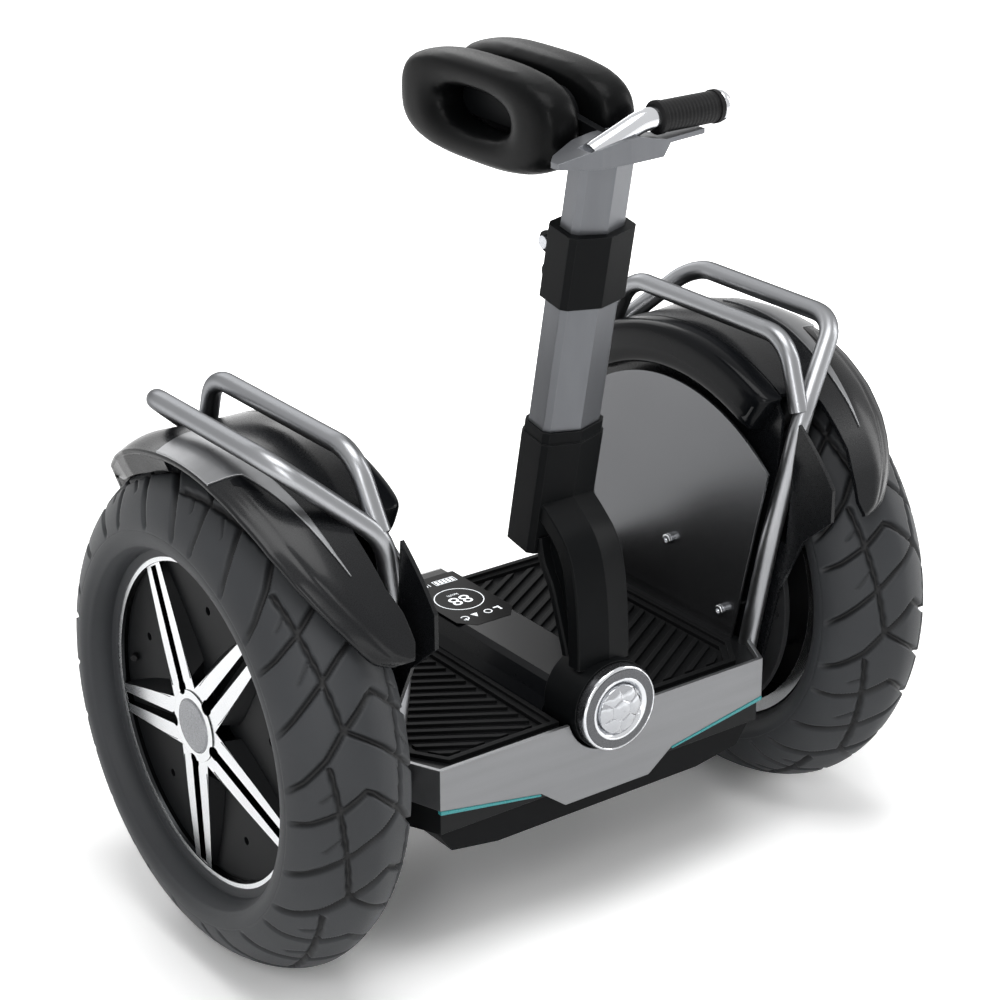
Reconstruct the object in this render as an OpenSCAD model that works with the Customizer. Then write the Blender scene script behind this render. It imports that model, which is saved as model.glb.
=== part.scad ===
// Two-wheeled self-balancing personal transporter.
// X runs across the machine, -Y is its front, Z is up. The origin lies on the
// ground midway between the wheels, straight under the axle line.

/* [Wheels] */
// Outer diameter of the tyre
tyre_d = 482.6; // [440:0.1:580]
// Width of the tyre across its sidewalls
tyre_w = 124; // [104:1:150]
// Distance between the middle planes of the two tyres
track = 613.4; // [590:0.1:740]
// Diameter of the bright outer ring of the rim
rim_d = 325.8; // [290:0.1:391]
// How far the ring face stands outboard of the tyre's middle plane
ring_face = 34.3; // [30:0.1:42]
// Number of twin spokes
spoke_count = 5; // [4:1:7]
// Turn of the first spoke above straight ahead, in degrees
spoke_phase = 49.2; // [0:0.1:72]
// Depth of the tread grooves
tread_depth = 4; // [2:0.5:7]
// Width of the tread grooves
tread_w = 4.5; // [3:0.5:7]
// How many times the tread pattern repeats round the tyre
tread_repeats = 9; // [6:1:12]

/* [Hub motor] */
// Radius of the stator
stator_r = 98; // [80:1:112]
// Air gap between the stator and the turning shell
rotor_gap = 1.2; // [0.6:0.1:3]
// Radius of the axle at the inboard bearing
axle_r = 17; // [12:0.5:20]
// Running clearance of a bearing or bush
run_fit = 0.05; // [0.02:0.01:0.1]

/* [Deck] */
// Half width of the deck
deck_x = 216; // [200:1:218]
// Front face of the deck, ahead of the axle
deck_front = 162; // [150:1:200]
// Rear face of the deck, behind the axle
deck_rear = 184; // [160:1:220]
// Height of the deck casting's floor above the ground
deck_floor = 146; // [120:1:160]
// Height of the top of the deck casting
deck_top = 200; // [190:1:210]
// Wall of the deck casting
deck_wall = 6; // [4:0.5:8]
// Thickness of the bright front band
band_t = 4; // [3:0.5:6]
// Inner edge of each foot mat from the middle
mat_in = 46; // [44:1:60]
// Outer edge of each foot mat from the middle
mat_out = 193; // [170:1:196]
// Height of the central console's crest
console_top = 240; // [236:1:248]
// Half width of the display glass
glass_x = 34; // [25:1:36]

/* [Side panels and fenders] */
// Distance of the side panels from the middle
panel_x = 204; // [200:1:208]
// Radius of the side panels about the axle
panel_r = 213.5; // [190:0.5:215]
// Thickness of the side panels
panel_t = 3; // [2:0.5:4]
// Distance of the inner fender walls from the middle
fender_x = 226; // [224:1:230]
// Gap between the tyre tread and the fender
fender_gap = 18.7; // [12:0.1:30]
// Thickness of the fenders
fender_t = 4; // [3:0.5:5]
// Thickness of the metal strip on each fender's crown
strip_t = 1.6; // [1:0.2:3]
// Front end of the fenders, in degrees ahead of the top
fender_front = 59; // [45:1:70]
// Rear end of the fenders, in degrees behind the top
fender_back = 66; // [50:1:80]

/* [Guard rails] */
// Outer diameter of the rail tube
rail_d = 19; // [16:0.5:22]
// Bore of the rail tube
rail_bore = 15; // [10:0.5:15.5]
// Height of the rail tops above the tops of the tyres
rail_rise = 40.4; // [22:0.1:78]
// Distance of the outer rails from the middle
rail_out_x = 320; // [300:1:330]
// Distance of the inner rails from the middle
rail_in_x = 246; // [236:1:260]

/* [Column] */
// Forward lean of the column, in degrees
lean = 11.3; // [6:0.1:16]
// Height of the steering pivot above the ground
pivot_z = 225; // [215:1:230]
// Width of the lower tube
low_w = 66; // [60:1:76]
// Depth of the lower tube
low_d = 48; // [44:1:54]
// Width of the sliding upper tube
up_w = 60; // [50:1:62]
// Depth of the sliding upper tube
up_d = 42; // [36:1:44]
// Clearance of the sliding tube in the lower tube, each side
slide_gap = 0.25; // [0.1:0.05:0.5]
// Length of the clamp collar along the column
collar_h = 70; // [50:1:90]
// Radius of the lamp's outer ring
lamp_r = 42; // [36:0.5:43]

/* [Mast head] */
// Length of each knee pad, front to back
pad_l = 248; // [200:1:260]
// Height of each knee pad
pad_h = 100; // [80:1:120]
// Thickness of each knee pad
pad_t = 50; // [36:1:60]
// Height of the knee pads' middle above the ground
pad_z = 765; // [755:1:780]
// Length of the oval recess in each pad
recess_l = 114; // [80:1:130]
// Height of the oval recess in each pad
recess_h = 36; // [24:1:44]
// Diameter of the handle tube
bar_d = 20; // [16:0.5:22]
// Diameter of the rubber grip
grip_d = 30; // [26:0.5:32]
// Length of the rubber grip
grip_l = 70; // [60:1:110]

/* [Hidden] */
$fn = 72;
e = 0.01;

// Shared helpers -------------------------------------------------------------

function unit(v) = v / norm(v);

// Moves every edge of a counter-clockwise outline inward by d.
function inset(pts, d) = [for (i = [0:len(pts) - 1])
    let (n = len(pts), p = pts[(i + n - 1) % n], q = pts[i], r = pts[(i + 1) % n],
         a = unit(q - p), b = unit(r - q))
    q + (b - a) * d / (a[0] * b[1] - a[1] * b[0])];

// Mirrors a list of points with x > 0 to the other side, keeping the turn.
function both_sides(pts) = concat(pts, [for (i = [len(pts) - 1:-1:0]) [-pts[i][0], pts[i][1]]]);

module left_side() { mirror([1, 0, 0]) children(); }

// A round bar of radius r between two points.
module rod(a, b, r) {
    v = b - a;
    translate(a)
        rotate([0, acos(v[2] / norm(v)), atan2(v[1], v[0])])
            cylinder(r = r, h = norm(v));
}

// Points of a bend of radius rad round the corner q of the path p, q, r.
function bend(p, q, r, rad) = let (
    a = unit(p - q), b = unit(r - q), turn = 180 - acos(a * b),
    mid = q + unit(a + b) * rad / cos(turn / 2),
    u = unit(q + a * rad * tan(turn / 2) - mid), v = cross(unit(cross(b, a)), u),
    n = max(2, ceil(turn / 14)))
    [for (i = [0:n]) mid + rad * (cos(turn * i / n) * u + sin(turn * i / n) * v)];

// A path with a bend of radius rads[i] at each inner corner.
function bent_path(pts, rads) = [for (i = [0:len(pts) - 1])
    each i == 0 || i == len(pts) - 1 ? [pts[i]] : bend(pts[i - 1], pts[i], pts[i + 1], rads[i])];

function tangent(path, i) = unit(path[min(i + 1, len(path) - 1)] - path[max(i - 1, 0)]);

// Carries a side vector along the path without twisting it.
function carried(path, side, i) = i >= len(path) ? []
    : let (t = tangent(path, i), s = unit(side - (side * t) * t)) concat([s], carried(path, s, i + 1));

// A hollow tube swept along a path, as rings of the outer and inner skin.
module swept_tube(path, r, bore, sides = 12) {
    side = carried(path, [0.31, 0.42, 0.85], 0);
    last = len(path) - 1;
    skin = [for (rad = [r, bore]) for (i = [0:last]) for (k = [0:sides - 1])
        path[i] + rad * (cos(k * 360 / sides) * side[i]
            + sin(k * 360 / sides) * cross(tangent(path, i), side[i]))];
    inner = (last + 1) * sides;
    walls = [for (i = [0:last - 1]) for (k = [0:sides - 1])
        let (a = i * sides + k, b = i * sides + (k + 1) % sides, c = a + sides, d = b + sides)
        each [[a, b, d], [a, d, c], [a + inner, d + inner, b + inner], [a + inner, c + inner, d + inner]]];
    ends = [for (k = [0:sides - 1])
        let (a = k, b = (k + 1) % sides, c = last * sides + a, d = last * sides + b)
        each [[a, b + inner, b], [a, a + inner, b + inner], [c, d, d + inner], [c, d + inner, c + inner]]];
    polyhedron(points = skin, faces = [for (f = concat(walls, ends)) [f[0], f[2], f[1]]], convexity = 8);
}

// Extrudes an X-Z outline from y0 to y1.
module along_y(pts, y0, y1) {
    translate([0, y1, 0]) rotate([90, 0, 0]) linear_extrude(y1 - y0) polygon(pts);
}

// Extrudes a Y-Z outline from x0 to x1.
module along_x(pts, x0, x1) {
    translate([x0, 0, 0]) rotate([90, 0, 90]) linear_extrude(x1 - x0) polygon(pts);
}

// A cylinder along Y.
module rod_y(x, z, r, y0, y1) {
    translate([x, y1, z]) rotate([90, 0, 0]) cylinder(r = r, h = y1 - y0);
}

// A cylinder along X.
module rod_x(y, z, r, x0, x1) {
    translate([x0, y, z]) rotate([0, 90, 0]) cylinder(r = r, h = x1 - x0);
}

// Wheels ---------------------------------------------------------------------

axle_z = tyre_d / 2;
tyre_r = tyre_d / 2;
half_w = tyre_w / 2;
ring_r = rim_d / 2;
seat_r = ring_r - 7;
barrel_r = ring_r - 12;
lip_in = ring_face - 4;
shoulder_r = ring_r + 20;
crown_n = 1.7;
hub_r = 34;
hub_face = ring_face + 10;
web_z = ring_face - 6;
dish_t = 7;
dish_z = web_z - dish_t;
shell_r = stator_r + rotor_gap + 10;
shell_in = -46;
cover_t = 6;
bearing_w = 10;
small_axle_r = 10;
outer_bearing_r = 17;
inner_bearing_r = axle_r + 8;

// Puts children, made with Z pointing outboard, on the right wheel's centre.
module on_wheel() { translate([track / 2, 0, axle_z]) rotate([0, 90, 0]) children(); }

// Crown of the tyre: radius over the distance from its middle plane.
function crown(z, w, top) = shoulder_r
    + (top - shoulder_r) * pow(max(0, 1 - pow(abs(z) / w, crown_n)), 1 / crown_n);

module tyre_section() {
    wall = 9;
    steps = 9;
    in_w = half_w - wall;
    in_top = tyre_r - wall - tread_depth;
    arc = [for (i = [0:steps]) sin(i * 90 / steps)];
    side = [for (i = [0:4]) let (a = i * 22.5)
        [shoulder_r - (shoulder_r - ring_r - 1) * sin(a),
         half_w - (half_w - ring_face - 4) * (1 - cos(a))]];
    half_out = concat(
        [for (i = [0:steps - 1]) [crown(half_w * arc[i], half_w, tyre_r), half_w * arc[i]]],
        side,
        [[ring_r + 1, lip_in - 0.5], [seat_r, lip_in - 0.5]]);
    half_in = concat(
        [[seat_r, lip_in - 16], [shoulder_r, in_w]],
        [for (i = [steps - 1:-2:0]) [crown(in_w * arc[i], in_w, in_top), in_w * arc[i]]]);
    far_in = [for (i = [len(half_in) - 2:-1:0]) [half_in[i][0], -half_in[i][1]]];
    far_out = [for (i = [len(half_out) - 1:-1:1]) [half_out[i][0], -half_out[i][1]]];
    polygon(concat(half_out, half_in, far_in, far_out));
}

// Grooves of the tread's outboard half, each as two corners: degrees round the tyre from straight
// ahead up over the top, and distance out over the tread from its middle. The inboard half is the
// same, turned half a period.
tread_period = 360 / tread_repeats;
tread_lines = [
    [[32.5, 40.6], [22.4, 36]], [[22.4, 36], [11.2, 30]], [[11.2, 30], [0.2, 24]],
    [[22.4, 36], [19.2, 66]], [[11.2, 30], [4.5, 66]], [[0.2, 24], [-7.4, 66]],
    [[22.4, 36], [26, 8]], [[26, 8], [20.2, -22]], [[11.2, 30], [20.2, -22]]];

// Point of the crown at a turn and a distance over the tread, on the wheel's own axes.
function on_crown(turn, over) = let (z = half_w * sin(over * 56.2 / half_w), r = crown(z, half_w, tyre_r))
    [r * cos(-90 - turn), r * sin(-90 - turn), z];

// One straight groove from corner to corner, cut as a bar whose floor lies in the tread.
module groove(p, q) {
    m = (p + q) / 2;
    run = norm(q - p) + 2;
    axis = unit(q - p);
    out = unit([m[0], m[1], 0]);
    up = unit(out - (out * axis) * axis);
    side = cross(axis, up);
    multmatrix([[axis[0], side[0], up[0], m[0]], [axis[1], side[1], up[1], m[1]],
                [axis[2], side[2], up[2], m[2]], [0, 0, 0, 1]])
        translate([-run / 2, -tread_w / 2, -tread_depth])
            cube([run, tread_w, tread_depth + 14]);
}

module tyre() {
    color("dimgray")
        difference() {
            rotate_extrude() tyre_section();
            for (i = [0:tread_repeats - 1]) for (line = tread_lines) for (half = [1, -1]) {
                turn = (i + (half > 0 ? 0 : 0.5)) * tread_period;
                groove(on_crown(line[0][0] - turn, half * line[0][1]),
                       on_crown(line[1][0] - turn, half * line[1][1]));
            }
        }
}

// Turn of spoke i on the wheel; whole numbers are spokes, halves lie between.
function spoke_turn(i) = 270 - spoke_phase - i * 360 / spoke_count;

// Plan of a pair of spokes along +X, as its two outer edges.
spoke_rim_y = 14;
spoke_hub_y = 23;
slot_y = 5.5;
spoke_hub_x = 26;

module spoke_plan() {
    difference() {
        polygon([[spoke_hub_x, -spoke_hub_y], [ring_r - 8, -spoke_rim_y],
                 [ring_r - 8, spoke_rim_y], [spoke_hub_x, spoke_hub_y]]);
        polygon([[hub_r + 3, -slot_y], [ring_r - 13, -slot_y],
                 [ring_r - 13, slot_y], [hub_r + 3, slot_y]]);
    }
}

// Face of the spokes: falls in a cone from the hub to the ring.
module spoke_cone() {
    rotate_extrude()
        polygon([[0, web_z], [ring_r - 5, web_z], [ring_r - 5, ring_face - 0.5],
                 [hub_r - 3, hub_face - 1], [0, hub_face - 1]]);
}

module rim() {
    color("silver")
        difference() {
            union() {
                rotate_extrude()
                    polygon([[barrel_r, shell_in], [ring_r, shell_in], [ring_r, shell_in + 4],
                             [seat_r, shell_in + 8], [seat_r, lip_in], [ring_r, lip_in],
                             [ring_r, ring_face], [ring_r - 3, ring_face + 2],
                             [ring_r - 11, ring_face + 1], [barrel_r, ring_face - 2]]);
                intersection() {
                    spoke_cone();
                    translate([0, 0, web_z]) linear_extrude(hub_face)
                        for (i = [0:spoke_count - 1])
                            rotate(spoke_turn(i)) spoke_plan();
                }
                translate([0, 0, dish_z - 8]) cylinder(r = hub_r, h = hub_face - dish_z + 8);
            }
            translate([0, 0, dish_z - 9]) cylinder(r = outer_bearing_r, h = bearing_w + 4);
            translate([0, 0, hub_face - 2]) cylinder(r = hub_r - 8, h = 3);
            for (i = [0:spoke_count - 1])
                rotate(spoke_turn(i))
                    translate([hub_r + 3, 0, web_z - 1]) cylinder(r = slot_y + 1.5, h = 30);
        }
}

module wheel_dish() {
    color("#1c1e20")
        difference() {
            translate([0, 0, dish_z]) cylinder(r = barrel_r, h = dish_t);
            translate([0, 0, dish_z - 1]) cylinder(r = hub_r, h = dish_t + 2);
            for (i = [0:spoke_count - 1])
                rotate(spoke_turn(i + 0.5))
                    translate([114, 0, dish_z + 2]) cylinder(r = 4, h = dish_t);
        }
}

module motor_shell() {
    color("#2a2c2e")
        difference() {
            union() {
                translate([0, 0, shell_in]) cylinder(r = shell_r, h = dish_z - shell_in);
                for (i = [0:7]) rotate(i * 45) translate([shell_r - 6, 0, shell_in - 3])
                    cylinder(r = 4.5, h = 3.2, $fn = 6);
            }
            translate([0, 0, shell_in + cover_t])
                cylinder(r = stator_r + rotor_gap, h = dish_z - shell_in);
            translate([0, 0, shell_in - 4]) cylinder(r = inner_bearing_r, h = cover_t + 6);
        }
}

module hub_cap() {
    color("#8f9194")
        rotate_extrude()
            polygon([[0, hub_face - 2], [hub_r - 8.2, hub_face - 2],
                     [hub_r - 8.2, hub_face], [hub_r - 10, hub_face + 1.2], [0, hub_face + 1.6]]);
}

// Hub motors, axles and their brackets ----------------------------------------

bracket_in = deck_x - band_t;
stator_z0 = shell_in + cover_t + 4;
stator_z1 = dish_z - 12;
back_iron_r = stator_r - 14;

module stator() {
    difference() {
        union() {
            difference() {
                translate([0, 0, stator_z0]) cylinder(r = back_iron_r, h = stator_z1 - stator_z0);
                translate([0, 0, stator_z0 - 1]) cylinder(r = back_iron_r - 16, h = 80);
            }
            translate([0, 0, stator_z0]) cylinder(r = axle_r + 12, h = stator_z1 - stator_z0);
            for (i = [0:4]) rotate(i * 72) translate([axle_r + 8, -4, stator_z0 + 2])
                cube([back_iron_r - axle_r - 20, 8, stator_z1 - stator_z0 - 4]);
            for (i = [0:17]) rotate(i * 20) translate([back_iron_r - 1, -5, stator_z0 + 2])
                cube([14, 10, stator_z1 - stator_z0 - 4]);
        }
        translate([0, 0, stator_z0 - 1]) cylinder(r = axle_r, h = 80);
    }
}

module axle() {
    difference() {
        union() {
            translate([0, 0, bracket_in - track / 2])
                cylinder(r = axle_r, h = track / 2 - bracket_in + stator_z1);
            translate([0, 0, stator_z1]) cylinder(r = small_axle_r, h = dish_z + 4 - stator_z1);
        }
        translate([0, 0, bracket_in - track / 2 - 1]) cylinder(r = 6, h = track / 2 - bracket_in);
    }
}

module bearing(r_in, r_out, z0) {
    difference() {
        translate([0, 0, z0]) cylinder(r = r_out - run_fit, h = bearing_w);
        translate([0, 0, z0 - 1]) cylinder(r = r_in, h = bearing_w + 2);
    }
}

module bearing_pair() {
    bearing(axle_r, inner_bearing_r, shell_in - 3);
    bearing(small_axle_r, outer_bearing_r, dish_z - 7);
}

flange_in = fender_x + fender_t;
flange_t = 6;
flange_r = 150;

// Cast bracket: an upright bolted to the deck's side, with a windowed flange
// on its outboard end that faces the wheel.
module motor_bracket() {
    difference() {
        union() {
            along_x([[-62, deck_floor + 8], [62, deck_floor + 8], [46, axle_z + 34], [20, axle_z + 52],
                     [-20, axle_z + 52], [-46, axle_z + 34]], bracket_in, fender_x);
            rod_x(0, axle_z, 40, bracket_in, flange_in + flange_t);
            rod_x(0, axle_z, flange_r, flange_in, flange_in + flange_t);
        }
        rod_x(0, axle_z, axle_r, bracket_in - 1, flange_in + 20);
        rod_x(bolt_spots[0][0], bolt_spots[0][1], 3.2, bracket_in - 1, fender_x + 1);
        for (i = [0:7]) translate([flange_in - 1, 0, axle_z]) rotate([i * 45 + 22.5, 0, 0])
            translate([0, -18, 60]) cube([flange_t + 2, 36, 66]);
        for (i = [0:7]) translate([flange_in - 1, 0, axle_z]) rotate([i * 45, 0, 0])
            translate([0, 0, flange_r - 12]) rotate([0, 90, 0]) cylinder(r = 3.5, h = flange_t + 2);
    }
}

// Deck -----------------------------------------------------------------------

corner_x = deck_x - 24;
deck_plan = [
    [-corner_x, -deck_front], [corner_x, -deck_front], [deck_x, 52 - deck_front],
    [deck_x, deck_rear - 34], [deck_x - 26, deck_rear], [26 - deck_x, deck_rear],
    [-deck_x, deck_rear - 34], [-deck_x, 52 - deck_front]];
band_top = deck_top + 14;
notch_r = lamp_r + 5;
shell_plan = inset(deck_plan, band_t);
hump_x = 42;
block_y0 = -106;
block_y1 = -62;
block_x = 24;
floor_z = deck_floor + deck_wall;
rim_top = deck_top + 8;
socket_x = -120;
button_x = 120;
switch_z = 174;

// Plan of the raised rim that frames both foot mats and the console.
module rim_plan() {
    difference() {
        polygon(shell_plan);
        for (m = [0, 1]) mirror([m, 0]) polygon(inset(mat_plan, -0.3));
        translate([-mat_in - 1, -deck_front - 1])
            square([2 * mat_in + 2, deck_front + hump_y1 + 1.3]);
    }
}

module deck_frame() {
    color("#26282a")
        difference() {
            union() {
                translate([0, 0, deck_floor]) linear_extrude(deck_top - deck_floor) polygon(shell_plan);
                translate([0, 0, deck_top - 1]) linear_extrude(rim_top - deck_top + 1) rim_plan();
            }
            translate([0, 0, floor_z]) linear_extrude(deck_top - deck_wall - floor_z)
                polygon(inset(shell_plan, deck_wall));
            translate([-block_x - 2, block_y0 - 4, floor_z])
                cube([2 * block_x + 4, 72, deck_top]);
            rod_y(0, pivot_z, notch_r + 1, -deck_front - 1, block_y0 - 4);
            rod_y(socket_x, switch_z, 11, deck_rear - 20, deck_rear + 1);
            rod_y(button_x, switch_z, 9, deck_rear - 20, deck_rear + 1);
            all_posts() rod(post_foot, post_knee, rail_d / 2 + 0.1);
        }
}

// Front face of the band, from above: level top, lower edge falling to a tab.
band_face = both_sides([
    [50, 132], [78, 153], [corner_x, 173], [deck_x + 1, 177], [deck_x + 1, band_top]]);

module front_band() {
    color("#b4b6b9")
        difference() {
            intersection() {
                translate([0, 0, 120]) linear_extrude(110)
                    difference() {
                        polygon(deck_plan);
                        polygon(shell_plan);
                    }
                along_y(band_face, -deck_front - 1, 50 - deck_front);
            }
            rod_y(0, pivot_z, notch_r, -deck_front - 1, -100);
            all_posts() rod(post_foot, post_knee, rail_d / 2 + 0.1);
        }
}

strip_face = [[79, 151], [corner_x, 169], [corner_x, 172.6], [79, 152.7]];

module light_strips() {
    color("#5cc4c4")
        for (m = [0, 1]) mirror([m, 0, 0])
            along_y(strip_face, -deck_front - 0.6, band_t - deck_front);
}

// Foot mat: a plate with a double stepped rim and slanted ribs.
mat_y0 = -deck_front + 16;
mat_y1 = deck_rear - 12;
mat_plan = [[mat_in, mat_y0], [mat_out - 22, mat_y0], [mat_out, mat_y0 + 34],
            [mat_out, mat_y1 - 22], [mat_out - 16, mat_y1], [mat_in, mat_y1]];
mat_ribs = 22;
rib_pitch = 17;
rib_slant = 32;

module footboard() {
    color("#17181a") {
        translate([0, 0, deck_top]) linear_extrude(4) polygon(mat_plan);
        translate([0, 0, deck_top + 4 - e]) linear_extrude(8) difference() {
            polygon(mat_plan);
            polygon(inset(mat_plan, 5));
        }
        translate([0, 0, deck_top + 4 - e]) linear_extrude(4.5) difference() {
            polygon(inset(mat_plan, 5));
            polygon(inset(mat_plan, 11));
        }
        translate([0, 0, deck_top + 4 - e]) linear_extrude(3.6) intersection() {
            polygon(inset(mat_plan, 16));
            for (i = [0:mat_ribs]) translate([mat_in, mat_y0 - 70 + i * rib_pitch])
                rotate(rib_slant) square([260, 5]);
        }
    }
}

// Console: a hump over the pivot shaft with sloping shoulders.
hump_y0 = -116;
hump_y1 = 171;
hump_face = both_sides([[mat_in - 0.6, deck_top], [mat_in - 0.6, deck_top + 9],
    [hump_x - 3, console_top - 18], [hump_x - 8, console_top - 4], [hump_x - 14, console_top]]);
hump_side = [[hump_y0, deck_top - 1], [hump_y1, deck_top - 1], [hump_y1, deck_top + 12],
    [hump_y1 - 12, console_top - 3], [hump_y1 - 22, console_top + 1], [hump_y0, console_top + 1]];
glass_y0 = 20;
glass_y1 = 140;

module hump(shrink) {
    intersection() {
        along_y([for (p = hump_face) [p[0] * (1 - shrink / mat_in), p[1] - (p[1] > deck_top ? shrink : 0)]],
            hump_y0 - 1, hump_y1 + 1);
        along_x([for (p = hump_side) [p[0] - sign(p[0]) * shrink, p[1]]], -80, 80);
    }
}

module glass_plan(grow) {
    polygon([[-glass_x - grow, glass_y1 + grow], [-glass_x - grow, glass_y0 + 16 - grow],
             [-glass_x + 14, glass_y0 - grow], [glass_x - 14, glass_y0 - grow],
             [glass_x + grow, glass_y0 + 16 - grow], [glass_x + grow, glass_y1 + grow]]);
}

module console_cover() {
    color("#141517")
        difference() {
            hump(0);
            difference() {
                translate([0, 0, -3]) hump(3);
                translate([-60, hump_y1 - 6, 0]) cube([120, 20, 400]);
            }
            translate([0, 0, console_top - 2]) linear_extrude(4) glass_plan(0.3);
            // room for the pivot's barrel and shaft under the crest
            rod_y(0, pivot_z, barrel_top + 0.3, block_y0 - 1, block_y1 + 1);
            rod_y(0, pivot_z, shaft_r + 2, hump_y0 - 1, paddle_y1 + 2);
        }
}

module display_glass() {
    color("#050608")
        translate([0, 0, console_top - 2]) linear_extrude(2.2) glass_plan(0);
}

belly_face = both_sides([[120, 112], [172, 120], [190, deck_floor]]);

module belly_tray() {
    color("#18191b")
        difference() {
            along_y(belly_face, 12 - deck_front, deck_rear - 14);
            along_y(both_sides([[117, 116], [169, 124], [186, deck_floor + 1]]),
                16 - deck_front, deck_rear - 18);
            translate([-36, -80, 100]) cube([80, 96, 20]);
        }
}

module battery_hatch() {
    color("#202224")
        difference() {
            translate([-35.7, -79.7, 112]) cube([79.4, 95.4, 4]);
            for (i = [0:4]) translate([-24, -66 + i * 17, 111]) cube([56, 5, 2.5]);
        }
}

battery_y = -17;

module battery_pack() {
    color("#3a5f8a")
        difference() {
            translate([-184, battery_y, floor_z]) cube([368, 130, 40]);
            for (i = [-5:5]) translate([i * 32 - 1, battery_y - 1, floor_z + 26]) cube([2, 132, 30]);
        }
}

module control_board() {
    color("#1f5b3a") translate([-180, battery_y - 118, floor_z]) {
        for (x = [8, 116]) for (y = [8, 100]) translate([x, y, 0]) cylinder(r = 3, h = 8);
        translate([0, 0, 8 - e]) cube([124, 108, 1.8]);
        for (i = [0:3]) translate([22 + i * 24, 20, 9.5]) cylinder(r = 9, h = 24);
        for (i = [0:7]) translate([6 + i * 8, 54, 9.5]) cube([3, 46, 22]);
        translate([6, 54, 9.5]) cube([59, 46, 4]);
        translate([76, 52, 9.5]) cube([38, 44, 7]);
    }
}

// Steering pivot ---------------------------------------------------------------

shaft_r = 10;
bush_r = 12.5;
barrel_top = bush_r + 1.2;
stop_swing = 15;
paddle_y0 = -54;
paddle_y1 = -44;
paddle_x = 5;
paddle_z = 166;

module pivot_block() {
    color("#3a3c3f")
        difference() {
            union() {
                translate([-block_x, block_y0, floor_z])
                    cube([2 * block_x, block_y1 - block_y0, pivot_z - floor_z]);
                rod_y(0, pivot_z, barrel_top, block_y0, block_y1);
            }
            rod_y(0, pivot_z, bush_r, block_y0 - 1, block_y1 + 1);
            translate([-block_x + 6, block_y0 + 6, floor_z - 1])
                cube([2 * block_x - 12, block_y1 - block_y0 - 12, 46]);
        }
}

module pivot_bushes() {
    color("#b08d57")
        for (y = [block_y0, block_y1 - 14])
            difference() {
                rod_y(0, pivot_z, bush_r, y, y + 14);
                rod_y(0, pivot_z, shaft_r + run_fit, y - 1, y + 15);
            }
}

module pivot_shaft() {
    color("#8d9094") {
        rod_y(0, pivot_z, shaft_r, -124, paddle_y1);
        translate([-paddle_x, paddle_y0, paddle_z])
            cube([2 * paddle_x, paddle_y1 - paddle_y0, pivot_z - paddle_z]);
    }
}

// Rubber stops that the shaft's paddle meets at the end of the lean.
module lean_stops() {
    reach = (pivot_z - paddle_z) * sin(stop_swing) + paddle_x * cos(stop_swing) + 0.6;
    color("#101112")
        for (m = [0, 1]) mirror([m, 0, 0])
            translate([reach, paddle_y0, floor_z])
                cube([16, paddle_y1 - paddle_y0, 28]);
}

// Rear sockets and switch --------------------------------------------------------

module charge_socket() {
    color("#222426")
        difference() {
            union() {
                rod_y(socket_x, switch_z, 10.8, deck_rear - 18, flange_y);
                rod_y(socket_x, switch_z, 13.5, deck_rear - band_t, flange_y);
                for (s = [-1, 1]) {
                    translate([socket_x + s * 7.7 - 1.4, deck_rear - band_t, cap_z - 9])
                        cube([2.8, band_t - 1.2, 11]);
                    translate([socket_x + s * 7.7 - 1.4, deck_rear - band_t, cap_z - 2.5])
                        cube([2.8, band_t + 2.4, 5]);
                }
            }
            rod_y(socket_x, switch_z, 8, deck_rear - 12, deck_rear + 3);
            rod_x(hinge_y, cap_z, 0.8 + run_fit, socket_x - 10, socket_x + 10);
        }
}

cap_z = switch_z + 17;
flange_y = deck_rear - 1;
hinge_y = deck_rear + 0.9;

module charge_cap() {
    color("#101112") {
        rod_y(socket_x, switch_z, 13, deck_rear - 0.7, deck_rear + 2.5);
        along_y([[socket_x - 6, switch_z], [socket_x + 6, switch_z], [socket_x + 6, cap_z], [socket_x - 6, cap_z]],
            deck_rear - 0.7, deck_rear + 2.5);
        // hinge barrel and its pin
        rod_x(hinge_y, cap_z, 2, socket_x - 6, socket_x + 6);
        rod_x(hinge_y, cap_z, 0.8, socket_x - 8.8, socket_x + 8.8);
    }
}

module power_button() {
    color("#c8cacc") {
        rod_y(button_x, switch_z, 8.7, deck_rear - 14, deck_rear + 1);
    }
}

// Side panels and fenders ----------------------------------------------------------

bolt_spots = [[-5, axle_z + 42.7], [-88, axle_z - 5.3], [88, axle_z - 5.3]];

module side_panel() {
    color("#6b6c70")
        difference() {
            intersection() {
                rod_x(0, axle_z, panel_r, panel_x, panel_x + panel_t);
                along_x([[-100, rim_top], [100, rim_top], [150, 420], [150, 500], [-150, 500], [-150, 420]],
                    panel_x - 1, panel_x + panel_t + 1);
            }
            for (b = bolt_spots) rod_x(b[0], b[1], 3.2, panel_x - 1, panel_x + panel_t + 1);
        }
}

module panel_bolts() {
    color("#c8cacc")
        for (m = [0, 1]) mirror([m, 0, 0]) for (b = bolt_spots) {
            rod_x(b[0], b[1], 3, panel_x - 1, fender_x);
            rod_x(b[0], b[1], 5.5, panel_x - 4, panel_x);
        }
}

fender_r = tyre_r + fender_gap + fender_t;
fender_out = track / 2 + 41.3;
bulge_out = 24;
skirt_depth = 30 * (tyre_r - shoulder_r) / 58.4;
bulge_half = 29;

// Turns an outline, given as radius from the axle and x, about the axle line.
// Angles run from the top of the wheel, positive toward the front.
module about_axle(from, to) {
    translate([0, 0, axle_z]) rotate([0, 90, 0])
        rotate([0, 0, 180 + from]) rotate_extrude(angle = to - from) children();
}

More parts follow.
